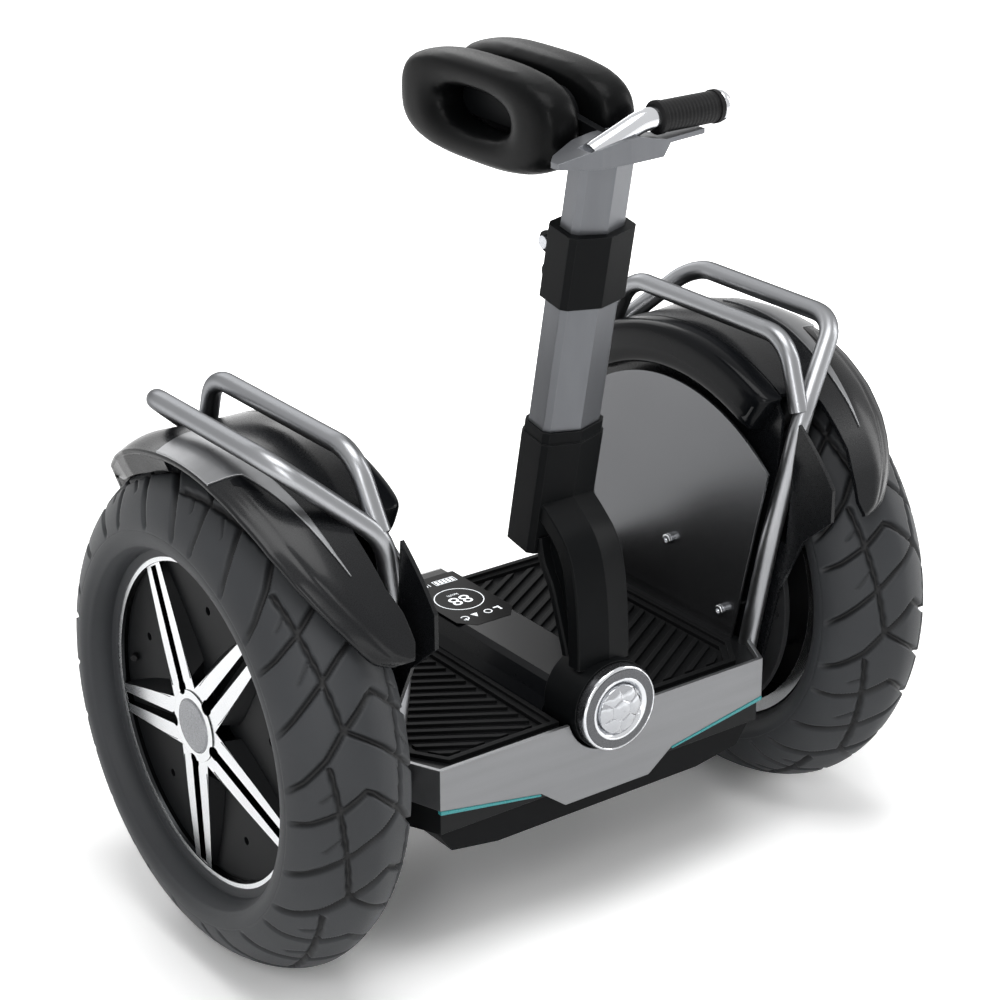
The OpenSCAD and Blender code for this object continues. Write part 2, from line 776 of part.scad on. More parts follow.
fender_section = [
    [fender_r - fender_t, fender_x + fender_t], [fender_r - fender_t, fender_out - 10],
    [fender_r - fender_t - 7, fender_out - 2], [fender_r - fender_t - 6, fender_out],
    [fender_r - 7, fender_out], [fender_r, fender_out - 12], [fender_r, fender_x + fender_t]];

// Outline of one end of the fender seen along Y: [degrees from the top, drawn in by].
front_end = [[12, 0], [32, -8], [45, -30], [49, -36], [57, -70], [64, -88]];
rear_end = [[30, 0], [38, -12], [45, -28], [51, -42], [55, -48], [62, -64], [68, -82], [74, -90]];

module end_cut(outline, y0, y1) {
    along_y([for (a = outline) [fender_out + a[1], axle_z + fender_r * cos(a[0])],
        each [[fender_out - 90, axle_z], [fender_out + 40, axle_z], [fender_out + 40, axle_z + fender_r]]],
        y0, y1);
}

module fender() {
    color("#1b1c1e")
        difference() {
            union() {
                difference() {
                    about_axle(-fender_back, fender_front) polygon(fender_section);
                    end_cut(front_end, -fender_r - 1, 0);
                    end_cut(rear_end, 0, fender_r + 1);
                }
                // the deeper side wall of the rear end
                about_axle(-38, -8)
                    polygon([[fender_r - skirt_depth, fender_out - 9],
                             [fender_r - skirt_depth, fender_out - 5],
                             [fender_r - 9, fender_out - 1.5], [fender_r - 6, fender_out - 6.5]]);
            }
            rail_room();
        }
}

// Plan of the strip on the crown: [degrees from the top, x], inner edge and then outer edge.
strip_inner = [[-10, 308], [11, 306], [23, 299], [37, 293.5], [42, 290]];
strip_outer = [[36, 297], [24, 308], [12, 322], [10.5, 330], [12.5, 344], [-10, 344]];

module crown_strip() {
    color("#9b9da1")
        intersection() {
            about_axle(-12, 44)
                polygon([[fender_r, 280], [fender_r + strip_t, 280],
                         [fender_r + strip_t, fender_out - 12], [fender_r - 5, fender_out - 2.6],
                         [fender_r - 5.8, fender_out - 2.06], [fender_r, fender_out - 12]]);
            translate([0, 0, axle_z]) linear_extrude(fender_r + 10)
                polygon([for (p = concat(strip_inner, strip_outer)) [p[1], -fender_r * sin(p[0])]]);
        }
}

// Front and rear edges of the inner wall, below the fender, on its own plane.
wall_edge = [[142, 25.7], [175, 92.7], [212, 124.7], [212, 278.7]] * fender_r / 264;
wall_side = concat([[-123, deck_top - 10], [123, deck_top - 10]],
    [for (p = wall_edge) [p[0], axle_z + p[1]]],
    [for (i = [len(wall_edge) - 1:-1:0]) [-wall_edge[i][0], axle_z + wall_edge[i][1]]]);

module inner_fender() {
    color("#131416")
        difference() {
            union() {
                intersection() {
                    rod_x(0, axle_z, fender_r, fender_x, fender_x + fender_t);
                    along_x(wall_side, fender_x - 1, fender_x + fender_t + 1);
                }
                about_axle(-bulge_half, bulge_half) polygon([
                    [fender_r - 42, fender_x + 1], [fender_r - 38, fender_x - bulge_out + 6],
                    [fender_r - 32, fender_x - bulge_out], [fender_r - 14, fender_x - bulge_out + 2],
                    [fender_r - 5, fender_x - 10], [fender_r - 1, fender_x + 1]]);
            }
            about_axle(-bulge_half + 1, bulge_half - 1) polygon([
                [fender_r - 39, fender_x + fender_t + 1], [fender_r - 35, fender_x - bulge_out + 7],
                [fender_r - 31, fender_x - bulge_out + 3], [fender_r - 15, fender_x - bulge_out + 5],
                [fender_r - 8, fender_x - 8], [fender_r - 5, fender_x + fender_t + 1]]);
            rod_x(0, axle_z, 43, fender_x - 1, fender_x + fender_t + 1);
            rail_room();
        }
}

// Guard rails -------------------------------------------------------------------

post_foot = [213, -113, deck_top - 6];
rail_top = tyre_d + rail_rise;
post_knee = [215, -140, axle_z + 84.7];
post_neck = [240, -151, rail_top - 71];
out_front = [rail_out_x, -106, rail_top];
in_front = [rail_in_x, -118, rail_top - 2];

function back(p) = [p[0], -p[1], p[2]];

outer_path = [post_foot, post_knee, post_neck, out_front,
    back(out_front), back(post_neck), back(post_knee), back(post_foot)];
outer_bends = [0, 120, 45, 42, 42, 45, 120, 0];
inner_start = post_neck + [0, 4, 3];
inner_path = [inner_start, in_front, back(in_front), back(inner_start)];
inner_bends = [0, 40, 40, 0];

// The four places of a post: both ends of both rails.
module all_posts() { for (x = [0, 1]) for (y = [0, 1]) mirror([x, 0, 0]) mirror([0, y, 0]) children(); }

// Slots for the rails where they pass the fenders, front and back of one side.
module rail_room() {
    for (y = [0, 1]) mirror([0, y, 0])
        along_x([for (p = [[22.5, -130], [12.8, -4], [38, 36], [10, 36], [-11, 3], [-11, -2], [0.5, -130]])
            [post_neck[1] + p[0], post_neck[2] + p[1]]], panel_x + panel_t + 2, post_neck[0] + 42);
}

module rail_outer() {
    color("#9a9da1") swept_tube(bent_path(outer_path, outer_bends), rail_d / 2, rail_bore / 2);
}

// The inner hoop is cut square where it meets the outer hoop's posts.
module rail_inner() {
    color("#9a9da1") swept_tube(bent_path(inner_path, inner_bends), rail_d / 2, rail_bore / 2);
}

// Column ------------------------------------------------------------------------

foot_y = -38.9;
sleeve_w = 72;
sleeve_d = 56;
sleeve_w0 = 139;
sleeve_w1 = 268;
collar_w0 = 395;
collar_w1 = collar_w0 + collar_h;
tube_low = 150;
mast_low = 262;
mast_high = 536;
ridge = 8;
chamfer = 5;

// Stands children on the leaning column line, Z along the column.
module on_column() { translate([0, foot_y, pivot_z]) rotate([lean, 0, 0]) children(); }

// Six-sided tube section with a shallow ridge front and back.
function tube_plan(w, d) = [
    [0, -d / 2], [w / 2 - chamfer, ridge - d / 2], [w / 2, ridge + chamfer - d / 2],
    [w / 2, d / 2 - ridge - chamfer], [w / 2 - chamfer, d / 2 - ridge], [0, d / 2],
    [chamfer - w / 2, d / 2 - ridge], [-w / 2, d / 2 - ridge - chamfer],
    [-w / 2, ridge + chamfer - d / 2], [chamfer - w / 2, ridge - d / 2]];

module tube_bar(w, d, z0, z1) { translate([0, 0, z0]) linear_extrude(z1 - z0) polygon(tube_plan(w, d)); }

module base_sleeve() {
    color("#141517") on_column() difference() {
        union() {
            tube_bar(sleeve_w, sleeve_d, sleeve_w0, sleeve_w1 - 12);
            tube_bar(sleeve_w - 2, sleeve_d - 3, sleeve_w1 - 12, sleeve_w1);
        }
        tube_bar(low_w, low_d, sleeve_w0 + 11, sleeve_w1 + 1);
    }
}

module lower_tube() {
    color("#717278") on_column() difference() {
        tube_bar(low_w, low_d, tube_low, collar_w1 - 8);
        tube_bar(up_w + 2 * slide_gap, up_d + 2 * slide_gap, tube_low - 1, collar_w1);
    }
}

lug_y = 34;
lug_w = collar_w0 + 40;
pin_r = 4;

module clamp_collar() {
    color("#141517") on_column() difference() {
        union() {
            tube_bar(low_w + 8, low_d + 8, collar_w0, collar_w1);
            for (x = [-20, 10]) translate([x, 0, 0])
                rotate([90, 0, 90]) linear_extrude(10) union() {
                    translate([lug_y + 2, lug_w]) circle(r = 10);
                    translate([0, lug_w - 10]) square([lug_y + 2, 20]);
                    translate([lug_y - 6, collar_w0 + 13]) circle(r = 9);
                    translate([0, collar_w0 + 4]) square([lug_y - 6, 18]);
                }
        }
        tube_bar(low_w, low_d, collar_w0 - 1, collar_w1 - 8);
        tube_bar(up_w + 2 * slide_gap, up_d + 2 * slide_gap, collar_w1 - 9, collar_w1 + 1);
        rod_x(lug_y + 2, lug_w, pin_r, -60, 60);
        translate([-1, 20, collar_w0 - 1]) cube([2, 30, collar_h + 2]);
    }
}

module clamp_pin() {
    color("#9a9da1") on_column() {
        rod_x(lug_y + 2, lug_w, pin_r, -22, 22);
        for (x = [-24, 20]) rod_x(lug_y + 2, lug_w, 6, x, x + 4);
    }
}

module clamp_lever() {
    color("#2a2c2e") on_column() difference() {
        union() {
            rod_x(lug_y + 2, lug_w, 8, -9.4, 9.4);
            translate([-9.4, lug_y + 3, lug_w - 52]) cube([18.8, 7, 54]);
            rod_x(lug_y + 6.5, lug_w - 52, 5, -9.4, 9.4);
        }
        rod_x(lug_y + 2, lug_w, pin_r + run_fit, -30, 30);
    }
}

// Arch: a ridged front band swept down from the sleeve to the pivot drum.
arch_ridge = [[-102, 416], [-120, 404], [-137, 389], [-149, 369], [-156, 343], [-160, 312],
    [-162, 268], [-161, 236]];

function arch_dir(i) = unit(arch_ridge[min(i + 1, len(arch_ridge) - 1)] - arch_ridge[max(i - 1, 0)]);

// Section of the arch band at a point of its ridge line.
function arch_ring(i) = let (d = arch_dir(i), n = [-d[1], d[0]])
    [for (p = concat([[0, 0]], both_sides([[27, 7], [30, 11], [30, 24]])))
        [p[0], arch_ridge[i][0] + n[0] * p[1], arch_ridge[i][1] + n[1] * p[1]]];

// A closed solid through rings of the same number of points.
module loft(rings) {
    n = len(rings[0]);
    last = len(rings) - 1;
    polyhedron(points = [for (r = rings) each r],
        faces = concat(
            [[for (k = [n - 1:-1:0]) k]], [[for (k = [0:n - 1]) last * n + k]],
            [for (i = [0:last - 1]) for (k = [0:n - 1])
                let (a = i * n + k, b = i * n + (k + 1) % n) each [[a, b, b + n], [a, b + n, a + n]]]),
        convexity = 6);
}

arch_web = [[-96, 366], [-106, 340], [-116, 305], [-127, 272], [-134, 250], [-152, 250],
    [-152, 320], [-142, 356], [-128, 380], [-100, 390]];

arch_leg = [[-85, 374], [-91, 351], [-105, 329], [-115, 303], [-126, 272], [-133, 248],
    [-141, 253], [-134, 275], [-123, 306], [-113, 332], [-98, 355], [-93, 376]];

module column_arch() {
    color("#17181a") difference() {
        union() {
            loft([for (i = [0:len(arch_ridge) - 1]) arch_ring(i)]);
            along_x(arch_web, -20, 20);
            along_x(arch_leg, -29, 29);
        }
        rod_y(0, pivot_z, lamp_r + 2, drum_y0 - 6, drum_y1);
        on_column() tube_bar(sleeve_w, sleeve_d, sleeve_w0, sleeve_w1 - 12);
    }
}

drum_y0 = -168;
drum_y1 = -120;

module pivot_housing() {
    color("#1a1b1d")
        difference() {
            union() {
                rod_y(0, pivot_z, lamp_r + 2, drum_y0, drum_y1);
                rod_y(0, pivot_z, lamp_r - 6, drum_y1 - 1, drum_y1 + 2);
            }
            rod_y(0, pivot_z, lamp_r - 9, drum_y0 - 1, drum_y0 + 18);
            rod_y(0, pivot_z, shaft_r, drum_y1 - 4, drum_y1 + 5);
        }
}

lens_r = 23.5;
lamp_y = -180;

// Turns a (radius, depth from the lamp's face) outline about the lamp's axis.
module lamp_turn() {
    translate([0, lamp_y, pivot_z]) rotate([-90, 0, 0]) rotate_extrude() children();
}

module lamp_bezel() {
    color("#8f9194")
        lamp_turn() polygon([[lens_r + 1, 3], [lens_r + 6, 1], [lens_r + 7.5, 0], [lamp_r - 2, 0],
            [lamp_r, 2], [lamp_r, 12], [lens_r + 1, 12]]);
}

module lamp_reflector() {
    color("#e6e8ea")
        lamp_turn() polygon([[6, 28], [20, 20], [lens_r, 12], [lamp_r - 9, 12],
            [lamp_r - 9, 16], [24, 22], [8, 29.6], [6, 29.6]]);
}

module lamp_lens() {
    color("#dfe3e6")
        lamp_turn() polygon([[0, -1.5], [10, -0.8], [18, 0.8], [lens_r + 1, 3.4], [lens_r + 1, 8], [0, 8]]);
}

// Mast head ------------------------------------------------------------------------

bar_y = -168;
bar_z = 778;
bar_r = bar_d / 2;
bar_start = [-30, bar_y, bar_z - 11];
bar_bend = [28, bar_y, bar_z];
grip_x0 = 36;
grip_x1 = grip_x0 + grip_l;
bar_end = [grip_x1 + 1, bar_y, bar_z];

module upper_tube() {
    color("#75767c") difference() {
        on_column() tube_bar(up_w, up_d, mast_low, mast_high + 20);
        on_column() tube_bar(up_w - 5, up_d - 5, mast_low - 1, mast_high + 30);
        translate([-60, -240, plate_z]) cube([120, 240, 60]);
        // the rear top is drawn in round the pads' front ends
        along_x([[-136.8, plate_z + 4], [-136.8, plate_z], [-134, plate_z - 6], [-129, plate_z - 12],
                 [-121, plate_z - 18], [-100, plate_z - 22], [-100, plate_z + 4]], -up_w, up_w);
    }
}

plate_top = [[88, 762.2], [40, 761], [26, 764], [10, 768], [-12, 767], [-34, 763], [-66, 753]];
plate_z = 746;
plate_low = [[-66, 748], [-38, plate_z], [38, plate_z], [46, 757], [88, 757.5]];

module top_plate() {
    color("#75767c")
        difference() {
            intersection() {
                along_y(concat(plate_top, plate_low), -182, -134);
                translate([0, 0, 700]) linear_extrude(100) polygon([
                    [-66, -166], [-30, -181], [0, -182], [36, -180], [88, -174], [88, -160],
                    [44, -152], [30, -140], [-30, -140], [-58, -148], [-66, -156]]);
            }
            rod(bar_start - [10, 0, 2], bar_bend, bar_r + 0.1);
            rod(bar_bend, bar_end, bar_r + 0.1);
            translate([-pad_arm_x - 0.02, -152, 760]) cube([2 * pad_arm_x + 0.04, 30, 30]);
        }
}

module handle_tube() {
    color("#d5d8db")
        union() {
            swept_tube(bent_path([bar_start, bar_bend, bar_end], [0, 60, 0]), bar_r, bar_r - 2, 16);
            translate([grip_x1, bar_y, bar_z]) rotate([0, 90, 0]) rotate_extrude()
                polygon([[0, 0], [13.5, 0], [14, 2], [12.5, 7], [8, 10.5], [0, 11.5]]);
        }
}

module handle_grip() {
    color("#101112")
        translate([grip_x0, bar_y, bar_z]) rotate([0, 90, 0]) rotate_extrude()
            polygon([[bar_r, 0], [grip_d / 2, 0], [grip_d / 2, 5], [grip_d / 2 - 1.5, 6.5],
                [grip_d / 2 - 1.5, grip_l - 7], [grip_d / 2, grip_l - 5], [grip_d / 2, grip_l - 0.1],
                [bar_r, grip_l - 0.1]]);
}

// Knee pads: two crowned oval rings on a flat hub.
pad_y = -12;
pad_mid_x = 6 + pad_t / 2;
pad_arm_x = 4;
pad_steps = 40;
roll_steps = 16;
outer_pow = 2.7;
inner_pow = 2.3;

// Point of a superellipse of half axes a and b at angle t.
function oval(a, b, p, t) = [
    a * sign(cos(t)) * pow(abs(cos(t)), 2 / p),
    b * sign(sin(t)) * pow(abs(sin(t)), 2 / p)];

// Point of the pad's skin: t runs round the ring, s round its roll.
function pad_point(t, s) = let (
    o = oval(pad_l / 2, pad_h / 2, outer_pow, t),
    i = oval(recess_l / 2, recess_h / 2, inner_pow, t),
    mid = (o + i) / 2, reach = (o - i) / 2,
    c = sign(cos(s)) * pow(abs(cos(s)), 0.9))
    [pad_mid_x + pad_t / 2 * sign(sin(s)) * pow(abs(sin(s)), 0.85),
     pad_y + mid[0] + reach[0] * c,
     pad_z + mid[1] + reach[1] * c];

module knee_pad() {
    pts = [for (i = [0:pad_steps - 1]) for (j = [0:roll_steps - 1])
        pad_point(i * 360 / pad_steps, (j + 0.5) * 360 / roll_steps)];
    tris = [for (i = [0:pad_steps - 1]) for (j = [0:roll_steps - 1])
        let (a = i * roll_steps + j, b = i * roll_steps + (j + 1) % roll_steps,
             c = ((i + 1) % pad_steps) * roll_steps + (j + 1) % roll_steps,
             d = ((i + 1) % pad_steps) * roll_steps + j)
        each [[a, b, c], [a, c, d]]];
    color("#111213") polyhedron(points = pts, faces = tris, convexity = 6);
}

// Flat-sided oval of the hub, as straight sides and round ends.
module oval_bar(l, h, x0, x1) {
    translate([x0, pad_y, pad_z]) rotate([90, 0, 90]) linear_extrude(x1 - x0) union() {
        square([l - h, h], center = true);
        for (s = [-1, 1]) translate([s * (l - h) / 2, 0]) circle(r = h / 2);
    }
}

module pad_hub() {
    color("#0c0d0e") {
        oval_bar(pad_l - 66, pad_h - 44, -6.2, 6.2);
        oval_bar(recess_l - 6, recess_h - 6, -18, 18);
    }
    color("#2a2c2e")
        along_x([[-152, 760], [-152, 766], [-100, 774], [-90, 774], [-90, 760]], -pad_arm_x, pad_arm_x);
}

// Everything -----------------------------------------------------------------------

deck_frame();
front_band();
light_strips();
left_side() footboard();  // footboard_left
footboard();  // footboard_right
console_cover();
display_glass();
belly_tray();
battery_hatch();
battery_pack();
control_board();
union() {  // side_panels
    side_panel();
    left_side() side_panel();
}
panel_bolts();
left_side() fender();  // fender_left
fender();  // fender_right
union() {  // crown_strips
    crown_strip();
    left_side() crown_strip();
}
left_side() inner_fender();  // inner_fender_left
inner_fender();  // inner_fender_right
left_side() rail_outer();  // rail_outer_left
rail_outer();  // rail_outer_right
left_side() rail_inner();  // rail_inner_left
rail_inner();  // rail_inner_right
color("#1e2022") {  // motor_brackets
    motor_bracket();
    left_side() motor_bracket();
}
color("#8d9094") {  // axles
    on_wheel() axle();
    left_side() on_wheel() axle();
}
color("#b9bcc0") {  // hub_bearings
    on_wheel() bearing_pair();
    left_side() on_wheel() bearing_pair();
}
color("#9c5a2c") {  // motor_stators
    on_wheel() stator();
    left_side() on_wheel() stator();
}
pivot_block();
pivot_bushes();
lean_stops();
charge_socket();
power_button();
charge_cap();
left_side() on_wheel() tyre();  // tyre_left
left_side() on_wheel() rim();  // rim_left
left_side() on_wheel() wheel_dish();  // wheel_dish_left
left_side() on_wheel() motor_shell();  // motor_shell_left
left_side() on_wheel() hub_cap();  // hub_cap_left
on_wheel() tyre();  // tyre_right
on_wheel() rim();  // rim_right
on_wheel() wheel_dish();  // wheel_dish_right
on_wheel() motor_shell();  // motor_shell_right
on_wheel() hub_cap();  // hub_cap_right
pivot_shaft();
pivot_housing();
column_arch();
base_sleeve();
lower_tube();
clamp_collar();
clamp_pin();
lamp_bezel();
lamp_reflector();
lamp_lens();
upper_tube();
top_plate();
handle_tube();
handle_grip();
pad_hub();
left_side() knee_pad();  // knee_pad_left
knee_pad();  // knee_pad_right
clamp_lever();
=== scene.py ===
import math

import bpy
import numpy as np
from mathutils import Matrix, Vector


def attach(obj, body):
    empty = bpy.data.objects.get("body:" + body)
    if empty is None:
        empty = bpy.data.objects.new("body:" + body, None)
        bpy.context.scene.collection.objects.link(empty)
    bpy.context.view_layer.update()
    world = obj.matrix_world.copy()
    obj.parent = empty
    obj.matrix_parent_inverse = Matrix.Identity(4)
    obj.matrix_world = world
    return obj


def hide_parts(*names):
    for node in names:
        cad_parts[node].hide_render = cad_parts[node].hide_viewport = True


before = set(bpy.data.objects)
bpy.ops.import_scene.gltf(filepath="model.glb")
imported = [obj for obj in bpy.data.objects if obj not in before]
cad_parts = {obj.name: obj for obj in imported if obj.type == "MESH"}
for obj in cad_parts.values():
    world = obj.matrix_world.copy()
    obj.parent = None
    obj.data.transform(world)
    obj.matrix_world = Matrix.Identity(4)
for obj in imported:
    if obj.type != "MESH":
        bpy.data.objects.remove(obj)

# Sizes are in millimetres in the frame's axes and become metres when a mesh is made.
MM = 0.001
TAU = 2 * math.pi
AXLE_Z = 241.3  # height of the wheels' axis
TYRE_MID = 306.7  # middle plane of a wheel, from the middle of the deck
SIDES = (("right", 1.0), ("left", -1.0))
SCENE = bpy.context.scene
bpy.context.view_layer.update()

# Meshes -----------------------------------------------------------------------


def placed(name, data):
    """A new object with this data, in the scene."""
    made = bpy.data.objects.new(name, data)
    SCENE.collection.objects.link(made)
    return made


def lattice(rows, cols, wrap_rows):
    """Faces of a grid of points whose columns close into rings: cell (i, j) joins row i to
    i + 1 and column j to j + 1."""
    i = np.arange(rows if wrap_rows else rows - 1)[:, None]
    j = np.arange(cols)[None, :]
    k, m = (i + 1) % rows, (j + 1) % cols
    return np.stack([i * cols + j, i * cols + m, k * cols + m, k * cols + j], -1).reshape(-1, 4)


def fan(ring, centre):
    """Triangles from each step of a ring of point numbers to one centre point."""
    ring = np.asarray(ring)
    return np.stack([ring, np.roll(ring, -1), np.full(len(ring), centre)], -1)


def closed_grid(points, wrap_rows=False):
    """A grid whose columns close into rings; open ends are closed by a fan to their middle."""
    rows, cols = points.shape[:2]
    flat = points.reshape(-1, 3)
    quads = lattice(rows, cols, wrap_rows)
    if wrap_rows:
        return flat, quads, np.zeros((0, 3), int)
    flat = np.vstack([flat, points[0].mean(0), points[-1].mean(0)])
    first, last = np.arange(cols), np.arange((rows - 1) * cols, rows * cols)
    tris = np.vstack([fan(first, rows * cols), fan(last, rows * cols + 1)[:, [1, 0, 2]]])
    return flat, quads, tris


def outward(points, quads, tris):
    """Turns a closed shape's faces outward, by the sign of the volume that they enclose."""
    both = np.vstack([quads[:, [0, 1, 2]], quads[:, [0, 2, 3]], tris])
    a, b, c = (points[both[:, k]] for k in range(3))
    if np.einsum("ij,ij->i", a, np.cross(b, c)).sum() < 0:
        quads, tris = quads[:, ::-1], tris[:, ::-1]
    return points, quads, tris


def piece(name, parts, finish, body, sharp=35.0):
    """One mesh from (points, quads, triangles) parts in millimetres, each turned outward. Edges
    that turn by more than sharp degrees stay sharp."""
    points, quads, tris, base = [], [], [], 0
    for part in parts:
        p, q, t = outward(*part)
        points.append(p)
        quads.append(q + base)
        tris.append(t + base)
        base += len(p)
    points, quads, tris = np.vstack(points), np.vstack(quads), np.vstack(tris)
    mesh = bpy.data.meshes.new(name)
    mesh.vertices.add(len(points))
    mesh.vertices.foreach_set("co", (points * MM).astype(np.float32).ravel())
    loops = np.concatenate([quads.ravel(), tris.ravel()]).astype(np.int32)
    mesh.loops.add(len(loops))
    mesh.loops.foreach_set("vertex_index", loops)
    starts = np.concatenate([np.arange(len(quads)) * 4,
                             len(quads) * 4 + np.arange(len(tris)) * 3])
    mesh.polygons.add(len(starts))
    mesh.polygons.foreach_set("loop_start", starts.astype(np.int32))
    mesh.update(calc_edges=True)
    mesh.validate()
    mesh.shade_smooth()
    mesh.set_sharp_from_angle(angle=math.radians(sharp))
    mesh.materials.append(finish)
    made = placed(name, mesh)
    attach(made, body)
    return made


def coordinates(mesh):
    """The mesh's points, one in each row, in metres."""
    co = np.empty(len(mesh.vertices) * 3, np.float32)
    mesh.vertices.foreach_get("co", co)
    return co.reshape(-1, 3)


def mirrored(part, side):
    """The part itself, or its copy on the other side of the middle plane."""
    points, quads, tris = part
    return points * np.array([side, 1.0, 1.0]), quads, tris


def tangents(path):
    """Unit directions along a path, from the points before and after each point."""
    step = np.gradient(path, axis=0)
    return step / np.linalg.norm(step, axis=1, keepdims=True)


def carried_sides(path):
    """Two unit vectors across the path at each point, carried along without twist. The first
    comes from a direction that none of the paths here runs along."""
    t = tangents(path)
    side, out = np.array([0.31, 0.42, 0.85]), []
    for direction in t:
        side = side - (side @ direction) * direction
        side = side / np.linalg.norm(side)
        out.append(side)
    out = np.array(out)
    return out, np.cross(t, out)


def swept(path, radius, sides=36):
    """Tube: point(i, k) = path_i + radius (cos k * side_i + sin k * other_i)."""
    u, v = carried_sides(path)
    turn = np.arange(sides) * TAU / sides
    rings = (path[:, None, :] + radius * (np.cos(turn)[None, :, None] * u[:, None, :]
                                          + np.sin(turn)[None, :, None] * v[:, None, :]))
    return closed_grid(rings)


def turned(outline, centre, axis, sides):
    """Revolve: a closed outline of (radius, height) pairs goes round the axis through centre."""
    axis = np.asarray(axis, float) / np.linalg.norm(axis)
    helper = np.array([0.0, 0.0, 1.0]) if abs(axis[2]) < 0.9 else np.array([0.0, 1.0, 0.0])
    u = np.cross(axis, helper)
    u /= np.linalg.norm(u)
    v = np.cross(axis, u)
    outline = np.asarray(outline, float)
    turn = np.arange(sides) * TAU / sides
    ring = np.cos(turn)[:, None] * u + np.sin(turn)[:, None] * v
    points = (np.asarray(centre, float) + outline[:, 0, None, None] * ring[None]
              + outline[:, 1, None, None] * axis)
    return closed_grid(points, wrap_rows=True)


def rounded_path(corners, radii, step=5.0):
    """Polyline whose inner corners are arcs, centre + r (cos s * u + sin s * v), with a point
    at about every step degrees."""
    corners = [np.array(c, float) for c in corners]
    out = [corners[0][None]]
    for p, q, r, rad in zip(corners[:-2], corners[1:-1], corners[2:], radii):
        a, b = (p - q) / np.linalg.norm(p - q), (r - q) / np.linalg.norm(r - q)
        turn = math.pi - math.acos(a @ b)
        mid = q + (a + b) / np.linalg.norm(a + b) * rad / math.cos(turn / 2)
        u = q + a * rad * math.tan(turn / 2) - mid
        u /= np.linalg.norm(u)
        n = np.cross(b, a)
        v = np.cross(n / np.linalg.norm(n), u)
        s = np.linspace(0, turn, max(3, int(math.degrees(turn) / step)))[:, None]
        out.append(mid + rad * (np.cos(s) * u + np.sin(s) * v))
    out.append(corners[-1][None])
    return np.vstack(out)


def fine(path, gap):
    """The same path with more points: one at every gap along it beside its own, apart from
    those that would come too near to one another."""
    steps = np.linalg.norm(np.diff(path, axis=0), axis=1)
    s = np.concatenate([[0], np.cumsum(steps)])
    t = np.unique(np.concatenate([s, np.arange(0, s[-1], gap)]))
    t = t[np.concatenate([[True], np.diff(t) > gap * 0.2])]
    return np.stack([np.interp(t, s, path[:, k]) for k in range(3)], -1)


def eased(x):
    """Smooth step from 0 to 1: 3 x^2 - 2 x^3."""
    x = np.clip(x, 0, 1)
    return x * x * (3 - 2 * x)


# Finishes ---------------------------------------------------------------------


def add(nodes, kind, values=(), **settings):
    """A new shader node: settings are its own properties, and values says what its sockets
    hold, by name or number."""
    made = nodes.new("ShaderNode" + kind)
    for key, value in settings.items():
        setattr(made, key, value)
    for socket, value in dict(values).items():
        made.inputs[socket].default_value = value
    return made


def mixed(tree, share, low, high):
    """A colour between two others, each of them a constant or another node's socket."""
    made = add(tree.nodes, "Mix", data_type="RGBA")
    tree.links.new(share, made.inputs[0])
    for socket, value in ((6, low), (7, high)):  # the node's two colour sockets
        if isinstance(value, tuple):
            made.inputs[socket].default_value = (*value, 1)
        else:
            tree.links.new(value, made.inputs[socket])
    return made.outputs[2]


def facing(tree, normal, other):
    """Cosine between a normal and either another one or a fixed direction."""
    made = add(tree.nodes, "VectorMath", operation="DOT_PRODUCT")
    tree.links.new(normal, made.inputs[0])
    if isinstance(other, tuple):
        made.inputs[1].default_value = other
    else:
        tree.links.new(other, made.inputs[1])
    return made.outputs["Value"]


def repaint(made, colour):
    """Puts another colour, made from the present one, on a finish."""
    base = made.node_tree.nodes["Principled BSDF"].inputs["Base Color"]
    made.node_tree.links.new(colour(base.links[0].from_socket), base)
    return made


